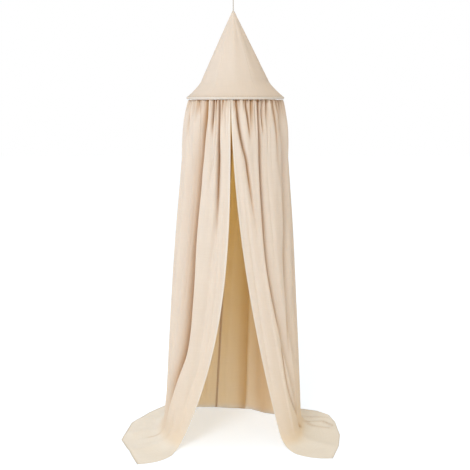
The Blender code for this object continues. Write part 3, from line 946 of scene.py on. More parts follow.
@dataclass
class SkirtPanel:
    """One skirt panel, from its hemmed front edge (share 0) to the seam at the back (share 1).

    Rows run from the gathered heading (0) to the hem (1). The shape is the frame's hull and folds, with finer
    creases, gathers and hems on it.
    """

    name: str
    hand: Hand
    sections: tuple[Section, ...]
    folds: tuple[Fold, ...]
    creases: tuple[Crease, ...]
    ripples: tuple[Ripple, ...]
    seed: int
    flat_width: float = 1.15
    flat_length: float = 2.00
    # The grid: how close its columns and rows are, and where they crowd or thin out.
    columns: int = 400
    column_density: float = 1.35
    back_thinning: float = 0.75
    back_start: tuple[float, float] = (0.4, 0.6)
    edge_crowding: float = 2.0
    edge_reach: float = 0.012
    rows: int = 123
    row_density: float = 0.9
    top_crowding: float = 8.0
    top_reach: float = 0.008
    gather_crowding: float = 2.0
    gather_reach: float = 0.06
    floor_crowding: float = 0.4
    floor_start: tuple[float, float] = (0.75, 0.85)
    steps: int = 300
    # The hull: its top edge, its seam, the puff under the hoop and the bend onto the floor.
    top_radius: float = 0.248
    slit_angle: float = math.radians(-5.1)
    slit_gap: float = 0.003
    seam_angle: float = math.radians(180.0)
    puff: float = 0.008
    puff_share: float = 0.16
    bend: float = 0.090
    floor_clear: float = 0.0001
    # How far above the floor, or from the seam, the folds and creases fade out.
    fold_fade: float = 0.12
    crease_fade: float = 0.05
    seam_fade: float = 0.02
    ripple_fade: float = 0.04
    crease_sharp: float = 1.4
    # How fast a crease's painted shade rises with its depth.
    painted_shade_gain: float = 2.2
    # The ripples on the floor, and the line of painted shadow behind each.
    ripple_sharp: float = 1.6
    ripple_line: float = 0.011
    ripple_shade: float = 0.5
    # The gathers: each strays from an even pitch, and has its own share of the depth and width.
    gathers: int = 46
    gather_stray: float = 0.34
    gather_long: tuple[float, float] = (0.035, 0.09)
    gather_tail: float = 0.07
    gather_deep: float = 0.0150
    gather_uneven: tuple[float, float] = (0.35, 1.25)
    gather_wide: float = 0.0044
    gather_widths: tuple[float, float] = (0.8, 1.3)
    gather_opening: float = 1.5
    gather_fade: float = 1.4
    gather_drift: float = 0.06
    # How dark the painted shade in the gathers' valleys is.
    gather_painted_shade: float = 0.8
    # The puckers at the sewn top edge.
    puckers: int = 118
    pucker_stray: float = 0.4
    pucker_long: tuple[float, float] = (0.008, 0.030)
    pucker_deep: float = 0.0026
    pucker_uneven: tuple[float, float] = (0.4, 1.3)
    pucker_wide: float = 0.0021
    # The minor folds that run down the cloth.
    streaks: int = 34
    streak_stray: float = 0.42
    streak_start: tuple[float, float] = (-0.05, 0.45)
    streak_rise: float = 0.12
    streak_long: tuple[float, float] = (0.6, 1.6)
    streak_deep: float = 0.0065
    streak_uneven: tuple[float, float] = (0.35, 1.3)
    streak_wide: tuple[float, float] = (0.007, 0.014)
    streak_opening: float = 1.3
    streak_lean: tuple[float, float] = (0.5, 1.9)
    streak_drift: float = 0.025
    streak_sharp: float = 1.6
    # The tuck under the roof's hem, the panel's own hems and their stitches.
    tuck: float = 0.002
    tuck_height: float = 0.005
    hem_wide: float = 0.009
    hem_thick: float = 0.0009
    hem_rise: float = 0.3
    hem_soft: float = 0.001
    foot_soft: float = 0.003
    hem_columns: int = 14
    stitch_inset: float = 0.0078
    # The back seam's allowance.
    allowance_wide: float = 0.011
    allowance_high: float = 0.0012
    allowance_gap: float = 0.0004
    allowance_columns: int = 7
    # How dark the seam allowance is painted all over: painted shade along the seam.
    allowance_painted_shade: float = 0.45

    def heading_height(self) -> float:
        """Give the height of the skirt's top edge, just under the roof's hem."""
        return PLACES.hoop - HEM_HIGH + CLOTH / 2

    def column_shares(self) -> Grid:
        """Space the columns closer over the panel's front half, and closer still at the front hem."""
        last = 1.0 - SEWN_GAP / 2 / (math.pi * self.top_radius)
        return last * spaced_by(
            lambda share: self.column_density - self.back_thinning * smooth(share, *self.back_start)
            + self.edge_crowding * np.exp(-share / self.edge_reach),
            self.columns,
        )

    def row_shares(self) -> Grid:
        """Space the rows closer under the heading and where the cloth bends onto the floor."""
        return spaced_by(
            lambda row: self.row_density + self.top_crowding * np.exp(-row / self.top_reach)
            + self.gather_crowding * np.exp(-row / self.gather_reach)
            + self.floor_crowding * smooth(row, *self.floor_start),
            self.rows,
        )

    def sections_between(self, shares: Grid) -> list[Section]:
        """Read a section at each share: smooth curves through the table, the hem straight between its rows.

        Args:
            shares: Where across the panel sections are wanted.

        Returns:
            A section for each share.
        """
        known = [section.share for section in self.sections]
        columns = []
        for field in fields(Section):
            values = [getattr(section, field.name) for section in self.sections]
            straight = field.name.startswith("hem")
            columns.append(np.interp(shares, known, values) if straight else through(known, values, shares))
        return [Section(*values) for values in zip(*columns)]

    def heading_point(self, angle: float) -> Grid:
        """Find a point of the top edge.

        Args:
            angle: Its angle from the front, turning towards +X.

        Returns:
            The point, in metres above the floor.
        """
        x = PLACES.hoop_shift + self.top_radius * math.sin(angle)
        return np.array((x, -self.top_radius * math.cos(angle), self.heading_height()))

    def section_line(self, top: Grid, section: Section) -> Grid:
        """Follow a section from the top edge to its hem, with a soft bend where it meets the floor.

        Args:
            top: Its point on the top edge.
            section: The section.

        Returns:
            Points along it.
        """
        drop = np.linspace(0.0, 1.0, self.steps)
        reach = drop ** section.spread
        puff = self.puff / self.top_radius * np.sin(math.pi * np.clip(drop / self.puff_share, 0.0, 1.0))
        hanging = np.column_stack((
            top[0] + (section.foot_x - top[0]) * reach + (top[0] - PLACES.hoop_shift) * puff,
            top[1] + (section.foot_y - top[1]) * reach + top[1] * puff,
            top[2] + (CLOTH - top[2]) * drop,
        ))
        along = np.linspace(0.0, 1.0, self.steps // 2)
        run = np.array((section.hem_x - section.foot_x, section.hem_y - section.foot_y))
        forward = self.hand.value * np.array((-run[1], run[0])) / np.linalg.norm(run)
        swing = 4.0 * section.bow * along * (1.0 - along)
        lying = np.column_stack((
            section.foot_x + run[0] * along + forward[0] * swing,
            section.foot_y + run[1] * along + forward[1] * swing,
            np.full(len(along), CLOTH),
        ))
        hung = lengths_along(hanging)[-1]
        laid = lengths_along(lying)[-1]
        soft = min(self.bend, laid)
        upper = read_line(hanging, np.linspace(0.0, hung - soft, self.steps))
        outer = read_line(lying, np.linspace(soft, laid, self.steps // 2))
        turn = np.linspace(0.0, 1.0, self.steps // 6)[1:-1, None]
        bend = upper[-1] * (1.0 - turn) ** 2 + 2.0 * hanging[-1] * turn * (1.0 - turn) + outer[0] * turn ** 2
        return np.vstack((upper, bend, outer))

    def hull(self, shares: Grid, rows: Grid) -> tuple[Grid, Grid]:
        """Work out the panel without its folds.

        Args:
            shares: The columns' shares of the width.
            rows: The rows' shares of the length.

        Returns:
            The points by column and row, and how far down the cloth each one is.
        """
        hand = self.hand.value
        slit = self.slit_angle - hand * self.slit_gap / 2 / self.top_radius
        grid = np.zeros((len(shares), len(rows), 3))
        down = np.zeros((len(shares), len(rows)))
        for number, section in enumerate(self.sections_between(shares)):
            top = self.heading_point(slit + (-hand * self.seam_angle - slit) * section.share)
            line = self.section_line(top, section)
            down[number] = rows * lengths_along(line)[-1]
            grid[number] = read_line(line, down[number])
        return grid, down

    def outward(self, grid: Grid) -> Grid:
        """Find the direction out of the cloth at each point.

        Args:
            grid: The panel's points.

        Returns:
            A vector one long at each point.
        """
        return unit(self.hand.value * np.cross(np.gradient(grid, axis=0), np.gradient(grid, axis=1)))

    def fold_depths(self, layout: Layout) -> Grid:
        """Work out how far the frame's folds draw the cloth in.

        Args:
            layout: Where the panel's points lie.

        Returns:
            The depth at each point.
        """
        depths = np.zeros(layout.down.shape)
        for fold in self.folds:
            shares = (fold.top, fold.under, fold.middle, fold.low)
            deep = (fold.deep_top, fold.deep_under, fold.deep_middle, fold.deep_low)
            offset = layout.beside(through(FOLD_STATIONS, shares, layout.rows))
            depths += through(FOLD_STATIONS, deep, layout.rows) * valley(offset, fold.front, fold.back)
        return depths

    def crease_depths(self, layout: Layout) -> tuple[Grid, Grid]:
        """Work out how far the creases draw the cloth in, and where their painted shade lies.

        Args:
            layout: Where the panel's points lie.

        Returns:
            The depth at each point, and how dark the painted shade is there, from 0 to 1.
        """
        depths = np.zeros(layout.down.shape)
        painted_shade = np.zeros(layout.down.shape)
        for crease in self.creases:
            deep = crease.deep(layout.rows)
            section = crease.section(layout, self.crease_sharp)
            depths += deep * section
            # Painted shade, darker where the crease is deeper.
            share = np.minimum(self.painted_shade_gain * np.abs(deep) / max(np.abs(crease.depths)), 1.0)
            painted_shade = np.maximum(painted_shade, crease.painted_shade_strength * share * section)
        return depths, painted_shade

    def gather_depths(self, layout: Layout) -> Grid:
        """Work out the gathers under the heading: narrow valleys of uneven depth that fade out downward.

        Args:
            layout: Where the panel's points lie.

        Returns:
            The depth at each point.
        """
        random = np.random.default_rng(self.seed)
        depths = np.zeros(layout.down.shape)
        for number in range(self.gathers):
            stray = random.uniform(-self.gather_stray, self.gather_stray)
            long = random.uniform(*self.gather_long) + random.exponential(self.gather_tail)
            deep = self.gather_deep * random.uniform(*self.gather_uneven)
            wide = self.gather_wide * random.uniform(*self.gather_widths)
            drift = random.uniform(-self.gather_drift, self.gather_drift)
            way = np.clip(layout.down / long, 0.0, 1.0)
            offset = layout.beside((number + 0.5 + stray) / self.gathers) - drift * layout.down
            width = wide * (1.0 + self.gather_opening * way)
            depths += deep * (1.0 - way) ** self.gather_fade * valley(offset, width, width, self.crease_sharp)
        for number in range(self.puckers):
            stray = random.uniform(-self.pucker_stray, self.pucker_stray)
            way = np.clip(layout.down / random.uniform(*self.pucker_long), 0.0, 1.0)
            offset = layout.beside((number + 0.5 + stray) / self.puckers)
            deep = self.pucker_deep * random.uniform(*self.pucker_uneven)
            depths += deep * (1.0 - way) * valley(offset, self.pucker_wide, self.pucker_wide)
        return depths

    def streak_depths(self, layout: Layout) -> Grid:
        """Work out the soft minor folds, which start near the gathers and widen as they run down the cloth.

        Args:
            layout: Where the panel's points lie.

        Returns:
            The depth at each point.
        """
        random = np.random.default_rng(self.seed + 1)
        down = layout.down
        depths = np.zeros(down.shape)
        for number in range(self.streaks):
            stray = random.uniform(-self.streak_stray, self.streak_stray)
            start = random.uniform(*self.streak_start)
            long = random.uniform(*self.streak_long)
            deep = self.streak_deep * random.uniform(*self.streak_uneven)
            wide = random.uniform(*self.streak_wide)
            lean = random.uniform(*self.streak_lean)
            drift = random.uniform(-self.streak_drift, self.streak_drift)
            fade = np.clip(1.0 - (down - start) / long, 0.0, 1.0)
            strength = smooth(down, start, start + self.streak_rise) * fade
            width = wide * (1.0 + self.streak_opening * down)
            offset = layout.beside((number + 0.5 + stray) / self.streaks) - drift * down
            depths += deep * strength * valley(offset, width, width * lean, self.streak_sharp)
        return depths

    def ripple_heights(self, grid: Grid) -> tuple[Grid, Grid]:
        """Work out how high the ripples lift the cloth on the floor, and the painted shadow line behind each.

        Args:
            grid: The panel's points.

        Returns:
            The height at each point, and how dark the painted shadow is there, from 0 to 1.
        """
        heights = np.zeros(grid.shape[:2])
        painted_shade = np.zeros(grid.shape[:2])
        for ripple in self.ripples:
            start = np.array((ripple.start_x, ripple.start_y))
            run = np.array((ripple.end_x, ripple.end_y)) - start
            offset = grid[:, :, :2] - start
            along = np.clip((offset @ run) / (run @ run), 0.0, 1.0)
            away = np.linalg.norm(offset - along[:, :, None] * run, axis=2)
            behind = np.sign(run[0]) * np.sign(run[0] * offset[:, :, 1] - run[1] * offset[:, :, 0])
            ridge = valley(behind * away, ripple.front, ripple.back, self.ripple_sharp)
            heights = np.maximum(heights, ripple.height * ridge)
            # A line of painted shadow just behind the ridge.
            line = np.exp(-((behind * away - self.ripple_shade * ripple.back) / self.ripple_line) ** 2)
            painted_shade = np.maximum(painted_shade, ripple.painted_shade_strength * line)
        return heights, painted_shade

    def shell(self) -> Shell:
        """Work out the whole panel.

        Returns:
            The panel's shell.
        """
        shares = self.column_shares()
        rows = self.row_shares()
        grid, down = self.hull(shares, rows)
        widths = np.linalg.norm(np.diff(grid, axis=0), axis=2).sum(axis=0) / shares[-1]
        layout = Layout(shares, rows, widths, down)
        above = grid[:, :, 2] - CLOTH
        laid = 1.0 - smooth(above, 0.0, self.ripple_fade)
        gathered = self.gather_depths(layout)
        creased, painted_shade = self.crease_depths(layout)
        # Painted shade in the gathers' valleys, darker where they are deeper.
        painted_shade = np.maximum(painted_shade, self.gather_painted_shade * np.clip(gathered / self.gather_deep, 0.0, 1.0))
        depth = (self.fold_depths(layout) + self.streak_depths(layout)) * smooth(above, 0.0, self.fold_fade)
        depth += (creased + gathered) * smooth(above, 0.0, self.crease_fade)
        depth *= smooth(-layout.beside(shares[-1]), 0.0, self.seam_fade)
        depth += self.tuck * np.exp(-(down / self.tuck_height) ** 2)
        start = self.hem_wide - self.hem_soft
        edge_hem = 1.0 - smooth(layout.beside(0.0), start, self.hem_wide + self.hem_soft)
        foot_hem = 1.0 - smooth(down[:, -1:] - down, start, self.hem_wide + self.foot_soft)
        hem = np.maximum(edge_hem, foot_hem)
        grid = grid - self.outward(grid) * (depth - self.hem_rise * self.hem_thick * hem)[:, :, None]
        lift, ripple_painted_shadow = self.ripple_heights(grid)
        grid[:, :, 2] += laid * lift
        normals = self.outward(grid)
        thickness = CLOTH + self.hem_thick * hem
        least = thickness * np.clip(normals[:, :, 2], 0.0, 1.0) + self.floor_clear
        grid[:, :, 2] = np.maximum(grid[:, :, 2], least)
        flat = np.stack((np.broadcast_to(shares[:, None] * self.flat_width, down.shape), down), axis=2)
        # Painted shade: creases and gathers, and the painted shadow lines behind the ripples on the floor.
        marks = {BACKING: np.maximum(HEM_BACKING * hem, laid), PAINTED_SHADE: np.maximum(painted_shade, laid * ripple_painted_shadow)}
        return Shell(grid, normals, thickness, flat, marks)

    def build(self, material: Finish, thread: Finish) -> Piece:
        """Build and dress the panel.

        Args:
            material: The cloth's finish.
            thread: The finish of the thread that it is sewn with.

        Returns:
            The panel.
        """
        shell = self.shell()
        piece = shell.build(self.name, flip=self.hand is Hand.LEFT)
        dress(piece, material)
        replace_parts(piece, self.name.replace("_cloth", ""))
        edge = shell.outer[:self.hem_columns].swapaxes(0, 1)
        column = int(np.argmin(np.abs(lengths_along(edge[len(edge) // 2]) - self.stitch_inset)))
        foot = shell.outer[1:-1, :-self.hem_columns:-1]
        sewn = [
            self.stitch_row("edge_stitches", edge, shell.normals[column], thread),
            self.stitch_row("hem_stitches", foot, shell.normals[1:-1, -2], thread),
        ]
        if self.hand is Hand.LEFT:
            sewn.append(self.seam_allowance(shell, material))
        return piece

    def stitch_row(self, kind: str, inward: Grid, outward: Grid, thread: Finish) -> Piece:
        """Sew a hem, at the stitches' distance from its edge.

        Args:
            kind: What the row's name has after the panel's.
            inward: Lines of points, each from the edge into the cloth.
            outward: The direction out of the cloth where each of them crosses the row.
            thread: The thread's finish.

        Returns:
            The row of stitches.
        """
        line = np.stack([read_line(points, (self.stitch_inset,))[0] for points in inward])
        return Stitches().build(f"{self.name}_{kind}", line, outward, thread)

    def seam_allowance(self, shell: Shell, material: Finish) -> Piece:
        """Build the turned edges of the back seam, which stand inside the skirt.

        Args:
            shell: The panel's shell.
            material: The cloth's finish.

        Returns:
            The strip along the seam.
        """
        line = shell.outer[-1, 1:-1]
        inward = -shell.normals[-1, 1:-1]
        beside = unit(line - shell.outer[-2, 1:-1])
        beside = unit(beside - inward * (beside * inward).sum(axis=1, keepdims=True))
        turn = np.linspace(-1.0, 1.0, self.allowance_columns)[:, None]
        across = self.allowance_wide / 2 * turn
        stand = CLOTH + self.allowance_gap + self.allowance_high * (1.0 - turn ** 4)
        grid = line + beside * across[:, :, None] + inward * stand[:, :, None]
        shape = grid.shape[:2]
        down = lengths_along(shell.outer[-1])[1:-1]
        flat = np.stack((np.broadcast_to(across, shape), np.broadcast_to(down, shape)), axis=2)
        # The whole strip is painted darker: painted shade along the seam.
        marks = {PAINTED_SHADE: np.full(shape, self.allowance_painted_shade)}
        strip = Shell(grid, np.broadcast_to(-inward, grid.shape), np.full(shape, CLOTH), flat, marks)
        return dress(strip.build("back_seam_allowance", flip=True), material)


@dataclass
class Roof:
    """The cone: six gores sewn together, drawn over the hoop, with a hem turned round its wire."""

    seed: int = 5
    flat_side: float = 0.90
    cut_area: float = 0.43
    segments: int = 720
    slope_rows: int = 44
    slope_spacing: float = 0.9
    hem_rows: int = 20
    straight: float = 0.860
    flare_start: float = 0.83
    flare_power: float = 1.4
    tip_radius: float = 0.004
    hem_start: float = math.radians(86.0)
    hem_end: float = math.radians(-180.0)
    hem_square: float = 3.2
    stitch_height: float = 0.0012
    stitch_margin: float = 0.006
    stitch_line: float = 0.0030
    # How dark the dots of painted shade along the stitch line are.
    stitch_painted_shade: float = 0.9
    groove_deep: float = 0.0007
    groove_wide: float = 0.0018
    hem_soft: float = 0.001
    hem_backing: float = 0.2
    hem_turn_up: float = 0.0095
    stitch_pitch: float = 0.0065
    stitch_long: float = 0.0046
    stitch_thick: float = 0.0012
    lobes: int = 11
    lobe_deep: float = 0.0015
    gores: int = 6
    puckers: int = 190
    pucker_deep: float = 0.0014
    pucker_height: float = 0.005
    pucker_wander: tuple[tuple[float, float, float], ...] = ((1.6, 7.0, 1.0), (1.1, 17.0, 0.0))
    pucker_patches: int = 90
    pucker_uneven: float = 0.4
    seam_deep: float = 0.0006
    seam_wide: float = 0.0022
    seam_end: tuple[float, float] = (0.955, 0.985)
    allowance_high: float = 0.0004
    allowance_edge: tuple[float, float] = (0.006, 0.009)
    gore_shift: float = 0.31
    least_down: float = 0.01

    def radius(self, share: Grid) -> Grid:
        """Work out the radius: straight from the tip, then flared where the cloth is drawn over the hoop.

        Args:
            share: How far from the tip (0) to the hoop (1).

        Returns:
            The radius at each share.
        """
        flare = np.clip((share - self.flare_start) / (1.0 - self.flare_start), 0.0, None) ** self.flare_power
        reach = self.straight * share + (1.0 - self.straight) * flare
        return self.tip_radius + (PLACES.hoop_radius - self.tip_radius) * reach

    def profile(self) -> Grid:
        """Follow the outer side of the cloth from the tip to the end of its turned-up hem.

        Returns:
            Radius and height above the floor at each step.
        """
        share = np.linspace(0.0, 1.0, self.slope_rows) ** self.slope_spacing
        share[-2] = 1.0 - self.stitch_margin
        radius = self.radius(share) + SOLID_CLOTH / 4
        height = PLACES.tip + (PLACES.hoop + HEM_HIGH + self.stitch_height - PLACES.tip) * share
        turn = np.linspace(self.hem_start, self.hem_end, self.hem_rows)
        power = 2.0 / self.hem_square
        hem_radius = PLACES.hoop_radius + HEM_WIDE * np.sign(np.cos(turn)) * np.abs(np.cos(turn)) ** power
        hem_height = PLACES.hoop + HEM_HIGH * np.sign(np.sin(turn)) * np.abs(np.sin(turn)) ** power
        end = ((PLACES.hoop_radius - HEM_WIDE, PLACES.hoop + self.hem_turn_up),)
        return np.vstack((np.column_stack((radius, height)), np.column_stack((hem_radius, hem_height)), end))

    def shell(self) -> Shell:
        """Work out the whole roof.

        Returns:
            The roof's shell.
        """
        profile = self.profile()
        angles = round_angles(self.segments)
        along = unit(np.gradient(profile, axis=0))
        side = np.column_stack((-along[:, 1], along[:, 0]))
        share = np.clip((PLACES.tip - profile[:, 1]) / (PLACES.tip - PLACES.hoop), 0.0, 1.0)
        down = lengths_along(profile)
        stitch = down[self.slope_rows - 1]
        random = np.random.default_rng(self.seed)
        waves = self.puckers * angles
        for size, rounds, start in self.pucker_wander:
            waves = waves + size * np.sin(rounds * angles + start)
        patches = np.append(random.uniform(-1.0, 1.0, self.pucker_patches), 0.0)
        patch_angles = np.linspace(0.0, 2.0 * math.pi, self.pucker_patches + 1)
        uneven = 1.0 - self.pucker_uneven + self.pucker_uneven * np.interp(angles, patch_angles, patches)
        near = np.exp(-((down - stitch) / self.pucker_height) ** 2)
        # Painted shade: dark dots along the stitch line, in the hollows of the puckers.
        stitched = np.exp(-((down - stitch) / self.stitch_line) ** 2)
        painted_shade = self.stitch_painted_shade * (0.5 - 0.5 * np.sin(waves))[:, None] * stitched[None, :]
        out = self.lobe_deep * np.sin(self.lobes * angles)[:, None] * np.sin(math.pi * share)[None, :]
        out += (self.pucker_deep * uneven * np.sin(waves))[:, None] * near[None, :]
        out -= self.groove_deep * np.exp(-((down - stitch) / self.groove_wide) ** 2)[None, :]
        out += self.seam_relief(angles, profile[:, 0], share)
        radial = np.stack((np.cos(angles), np.sin(angles)), axis=1)
        radii = profile[None, :, 0] + out * side[None, :, 0]
        heights = profile[None, :, 1] + out * side[None, :, 1]
        centre = PLACES.hoop_shift * share
        grid = np.stack((
            centre[None, :] + radii * radial[:, :1],
            radii * radial[:, 1:],
            np.broadcast_to(heights, radii.shape),
        ), axis=2)
        normals = np.stack((
            side[None, :, 0] * radial[:, :1],
            side[None, :, 0] * radial[:, 1:],
            np.broadcast_to(side[None, :, 1], radii.shape),
        ), axis=2)
        flat = self.flat_map(angles, down, profile[:, 0])
        hem = smooth(down, stitch - self.hem_soft, stitch + self.hem_soft)
        marks = {BACKING: self.hem_backing * np.broadcast_to(hem, radii.shape), PAINTED_SHADE: painted_shade}
        return Shell(grid, normals, np.full(radii.shape, CLOTH), flat, marks)

    def gore_angles(self, angles: Grid) -> Grid:
        """Measure each angle from its own gore's middle.

        Args:
            angles: Angles round the cone, from +X.

        Returns:
            The signed angle from the middle of the gore that each is in.
        """
        pitch = 2.0 * math.pi / self.gores
        return (angles + math.pi / 2 + pitch / 2) % pitch - pitch / 2

    def seam_relief(self, angles: Grid, radii: Grid, share: Grid) -> Grid:
        """Work out the seams between the gores: a groove, with the turned allowance beside it.

        Args:
            angles: Angles round the cone, from +X.
            radii: The profile's radii.
            share: How far down the cone each is.

        Returns:
            How far each point stands out.
        """
        half = math.pi / self.gores
        offset = (np.abs(self.gore_angles(angles)) - half)[:, None] * radii[None, :]
        side = np.sign(self.gore_angles(angles))[:, None]
        groove = -self.seam_deep * np.exp(-(offset / self.seam_wide) ** 2)
        turned = self.allowance_high * (1.0 - smooth(-offset, *self.allowance_edge))
        return (groove + np.where(side > 0, turned, 0.0)) * (1.0 - smooth(share, *self.seam_end))[None, :]

    def flat_map(self, angles: Grid, down: Grid, radii: Grid) -> Grid:
        """Lay each gore flat, so that its weave runs straight down its middle.

        Args:
            angles: Angles round the cone, from +X.
            down: How far down the cloth each row is.
            radii: The profile's radii.

        Returns:
            Where each point was on the flat cloth, in metres.
        """
        turn = self.gore_angles(angles)[:, None] * radii[None, :] / np.maximum(down, self.least_down)[None, :]
        gore = np.floor((angles + math.pi / 2) / (2.0 * math.pi / self.gores))[:, None]
        across = down[None, :] * np.sin(turn) + self.gore_shift * gore
        return np.stack((across, down[None, :] * np.cos(turn)), axis=2)

    def build(self, material: Finish, thread: Finish) -> Piece:
        """Build and dress the roof.

        Args:
            material: The cloth's finish.
            thread: The finish of the thread that its hem is sewn with.

        Returns:
            The roof.
        """
        shell = self.shell()
        piece = shell.build("roof_cloth", closed=True)
        dress(piece, material)
        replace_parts(piece, "roof")
        row = self.slope_rows - 1
        line = np.vstack((shell.outer[:, row], shell.outer[:1, row]))
        outward = np.vstack((shell.normals[:, row], shell.normals[:1, row]))
        stitches = Stitches(pitch=self.stitch_pitch, long=self.stitch_long, thick=self.stitch_thick)
        sewn = stitches.build("roof_hem_stitches", line, outward, thread)
        return piece


@dataclass
class Hoop:
    """The ring that spreads the cloth, inside the roof's hem."""

    segments: int = 180
    sides: int = 14

    def build(self, material: Finish) -> Piece:
        """Build and dress the ring.

        Args:
            material: The ring's finish.

        Returns:
            The ring.
        """
        turns = round_angles(self.segments)[:, None]
        section = round_angles(self.sides)
        reach = PLACES.hoop_radius + PLACES.wire / 2 * np.cos(section)
        points = np.stack((
            PLACES.hoop_shift + np.cos(turns) * reach,
            np.sin(turns) * reach,
            np.broadcast_to(PLACES.hoop + PLACES.wire / 2 * np.sin(section), (self.segments, self.sides)),
        ), axis=2)
        faces = grid_faces(self.segments, self.sides, True, True)[:, ::-1]
        piece = make_piece("hoop_ring", points, faces.tolist())
        dress(piece, material)
        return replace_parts(piece, "hoop")


@dataclass
class HangingCord:
    """The twisted cord: its run above the roof, the loop it hangs by, and the knots.

    groove is how deep the grooves between its strands are, as a share of its radius. lay is the length in
    which a strand goes once round. thin is the stop knot's radius as a share of the cord's width.
    """

    width: float = 0.005
    thin: float = 1 / 3
    strands: int = 3
    groove: float = 0.20
    lay: float = 0.014
    sides: int = 24
    step: float = 0.001
    loop_height: float = 0.050
    loop_width: float = 0.030
    loop_start: float = 0.087
    loop_steps: int = 130
    loop_drop_peak: float = 0.77
    loop_knot: float = 0.008
    stop_knot: float = 0.006
    knot_start: float = 0.25
    knot_steps: int = 110
    knot_flat: float = 0.62

    def knot_line(self, height: float, reach: float) -> Grid:
        """Follow an overhand knot pulled tight.

        Args:
            height: The height of its middle above the floor.
            reach: How far the cord's middle goes from the knot's.

        Returns:
            Points along it.
        """
        turn = np.linspace(self.knot_start, 2.0 * math.pi - self.knot_start, self.knot_steps)
        across = (np.sin(turn) + 2.0 * np.sin(2.0 * turn)) / 3.0
        up = (np.cos(turn) - 2.0 * np.cos(2.0 * turn)) / 3.0
        through_it = -np.sin(3.0 * turn)
        return np.column_stack((reach * across, self.knot_flat * reach * through_it, height + reach * up))

    def twist(self, line: Grid, radius: float) -> Grid:
        """Set grooved round sections along a line, each turned a little further than the one before.

        Args:
            line: The middle of the rope.
            radius: Its outer radius.

        Returns:
            The points, by place along the line and place round the section.
        """
        along = unit(np.gradient(line, axis=0))
        out = np.cross(along[0], (0.0, 1.0, 0.0) if abs(along[0][1]) < 0.9 else (1.0, 0.0, 0.0))
        turns = round_angles(self.sides)
        swell = 1.0 - self.groove + self.groove * np.abs(np.cos(self.strands * turns / 2))
        down = lengths_along(line)
        grid = np.zeros((len(line), self.sides, 3))
        for number, direction in enumerate(along):
            out = unit(out - direction * np.dot(out, direction))
            up = np.cross(direction, out)
            angles = turns + 2.0 * math.pi * down[number] / self.lay
            ring = radius * (np.cos(angles)[:, None] * out + np.sin(angles)[:, None] * up)
            grid[number] = line[number] + ring * swell[:, None]
        return grid

    def rope(self, name: str, line: Grid, radius: float, material: Finish) -> Piece:
        """Build and dress a rope with capped ends.

        Args:
            name: The object's name.
            line: The middle of the rope, in metres above the floor.
            radius: Its outer radius.
            material: The cord's finish.

        Returns:
            The rope.
        """
        count = len(line) * self.sides
        points = np.concatenate((self.twist(line, radius).reshape(-1, 3), line[:1], line[-1:]))
        ring = np.arange(self.sides)
        after = (ring + 1) % self.sides
        last = count - self.sides
        parts = (
            grid_faces(len(line), self.sides, closed_rows=True),
            np.stack((after, ring, np.full(self.sides, count)), axis=1),
            np.stack((ring + last, after + last, np.full(self.sides, count + 1)), axis=1),
        )
        faces = [face for part in parts for face in part[:, ::-1].tolist()]
        return dress(make_piece(name, points, faces), material)

    def build(self, material: Finish) -> list[Piece]:
        """Build and dress the cord, its loop and its knots.

        Args:
            material: The cord's finish.

        Returns:
            The cord, the loop and the two knots.
        """
        thick = self.width / 2
        thin = self.width * self.thin
        low, high = (corner.z - PLACES.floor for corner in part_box("cord"))
        run = np.linspace(low, high, int((high - low) / self.step))
        straight = np.column_stack((np.zeros(len(run)), np.zeros(len(run)), run))
        knot_height = PLACES.top - thick - self.loop_height
        turn = np.linspace(self.loop_start, 1.0 - self.loop_start, self.loop_steps)
        reach = self.loop_width / 2 / self.loop_drop_peak
        loop_line = np.column_stack((
            reach * np.sin(2.0 * math.pi * turn) * np.sin(math.pi * turn),
            np.zeros(len(turn)),
            knot_height + self.loop_height * np.sin(math.pi * turn) ** 2,
        ))
        stop_height = sum(corner.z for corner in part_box("stop_knot")) / 2 - PLACES.floor
        loop_knot_line = self.knot_line(knot_height, self.loop_knot - thick)
        stop_knot_line = self.knot_line(stop_height, self.stop_knot - thin)
        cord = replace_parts(self.rope("cord_rope", straight, thick, material), "cord")
        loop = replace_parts(self.rope("loop_rope", loop_line, thick, material), "cord_loop")
        loop_knot = self.rope("loop_knot", loop_knot_line, thick, material)
        stop_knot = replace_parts(self.rope("stop_knot_rope", stop_knot_line, thin, material), "stop_knot")
        return [cord, loop, loop_knot, stop_knot]


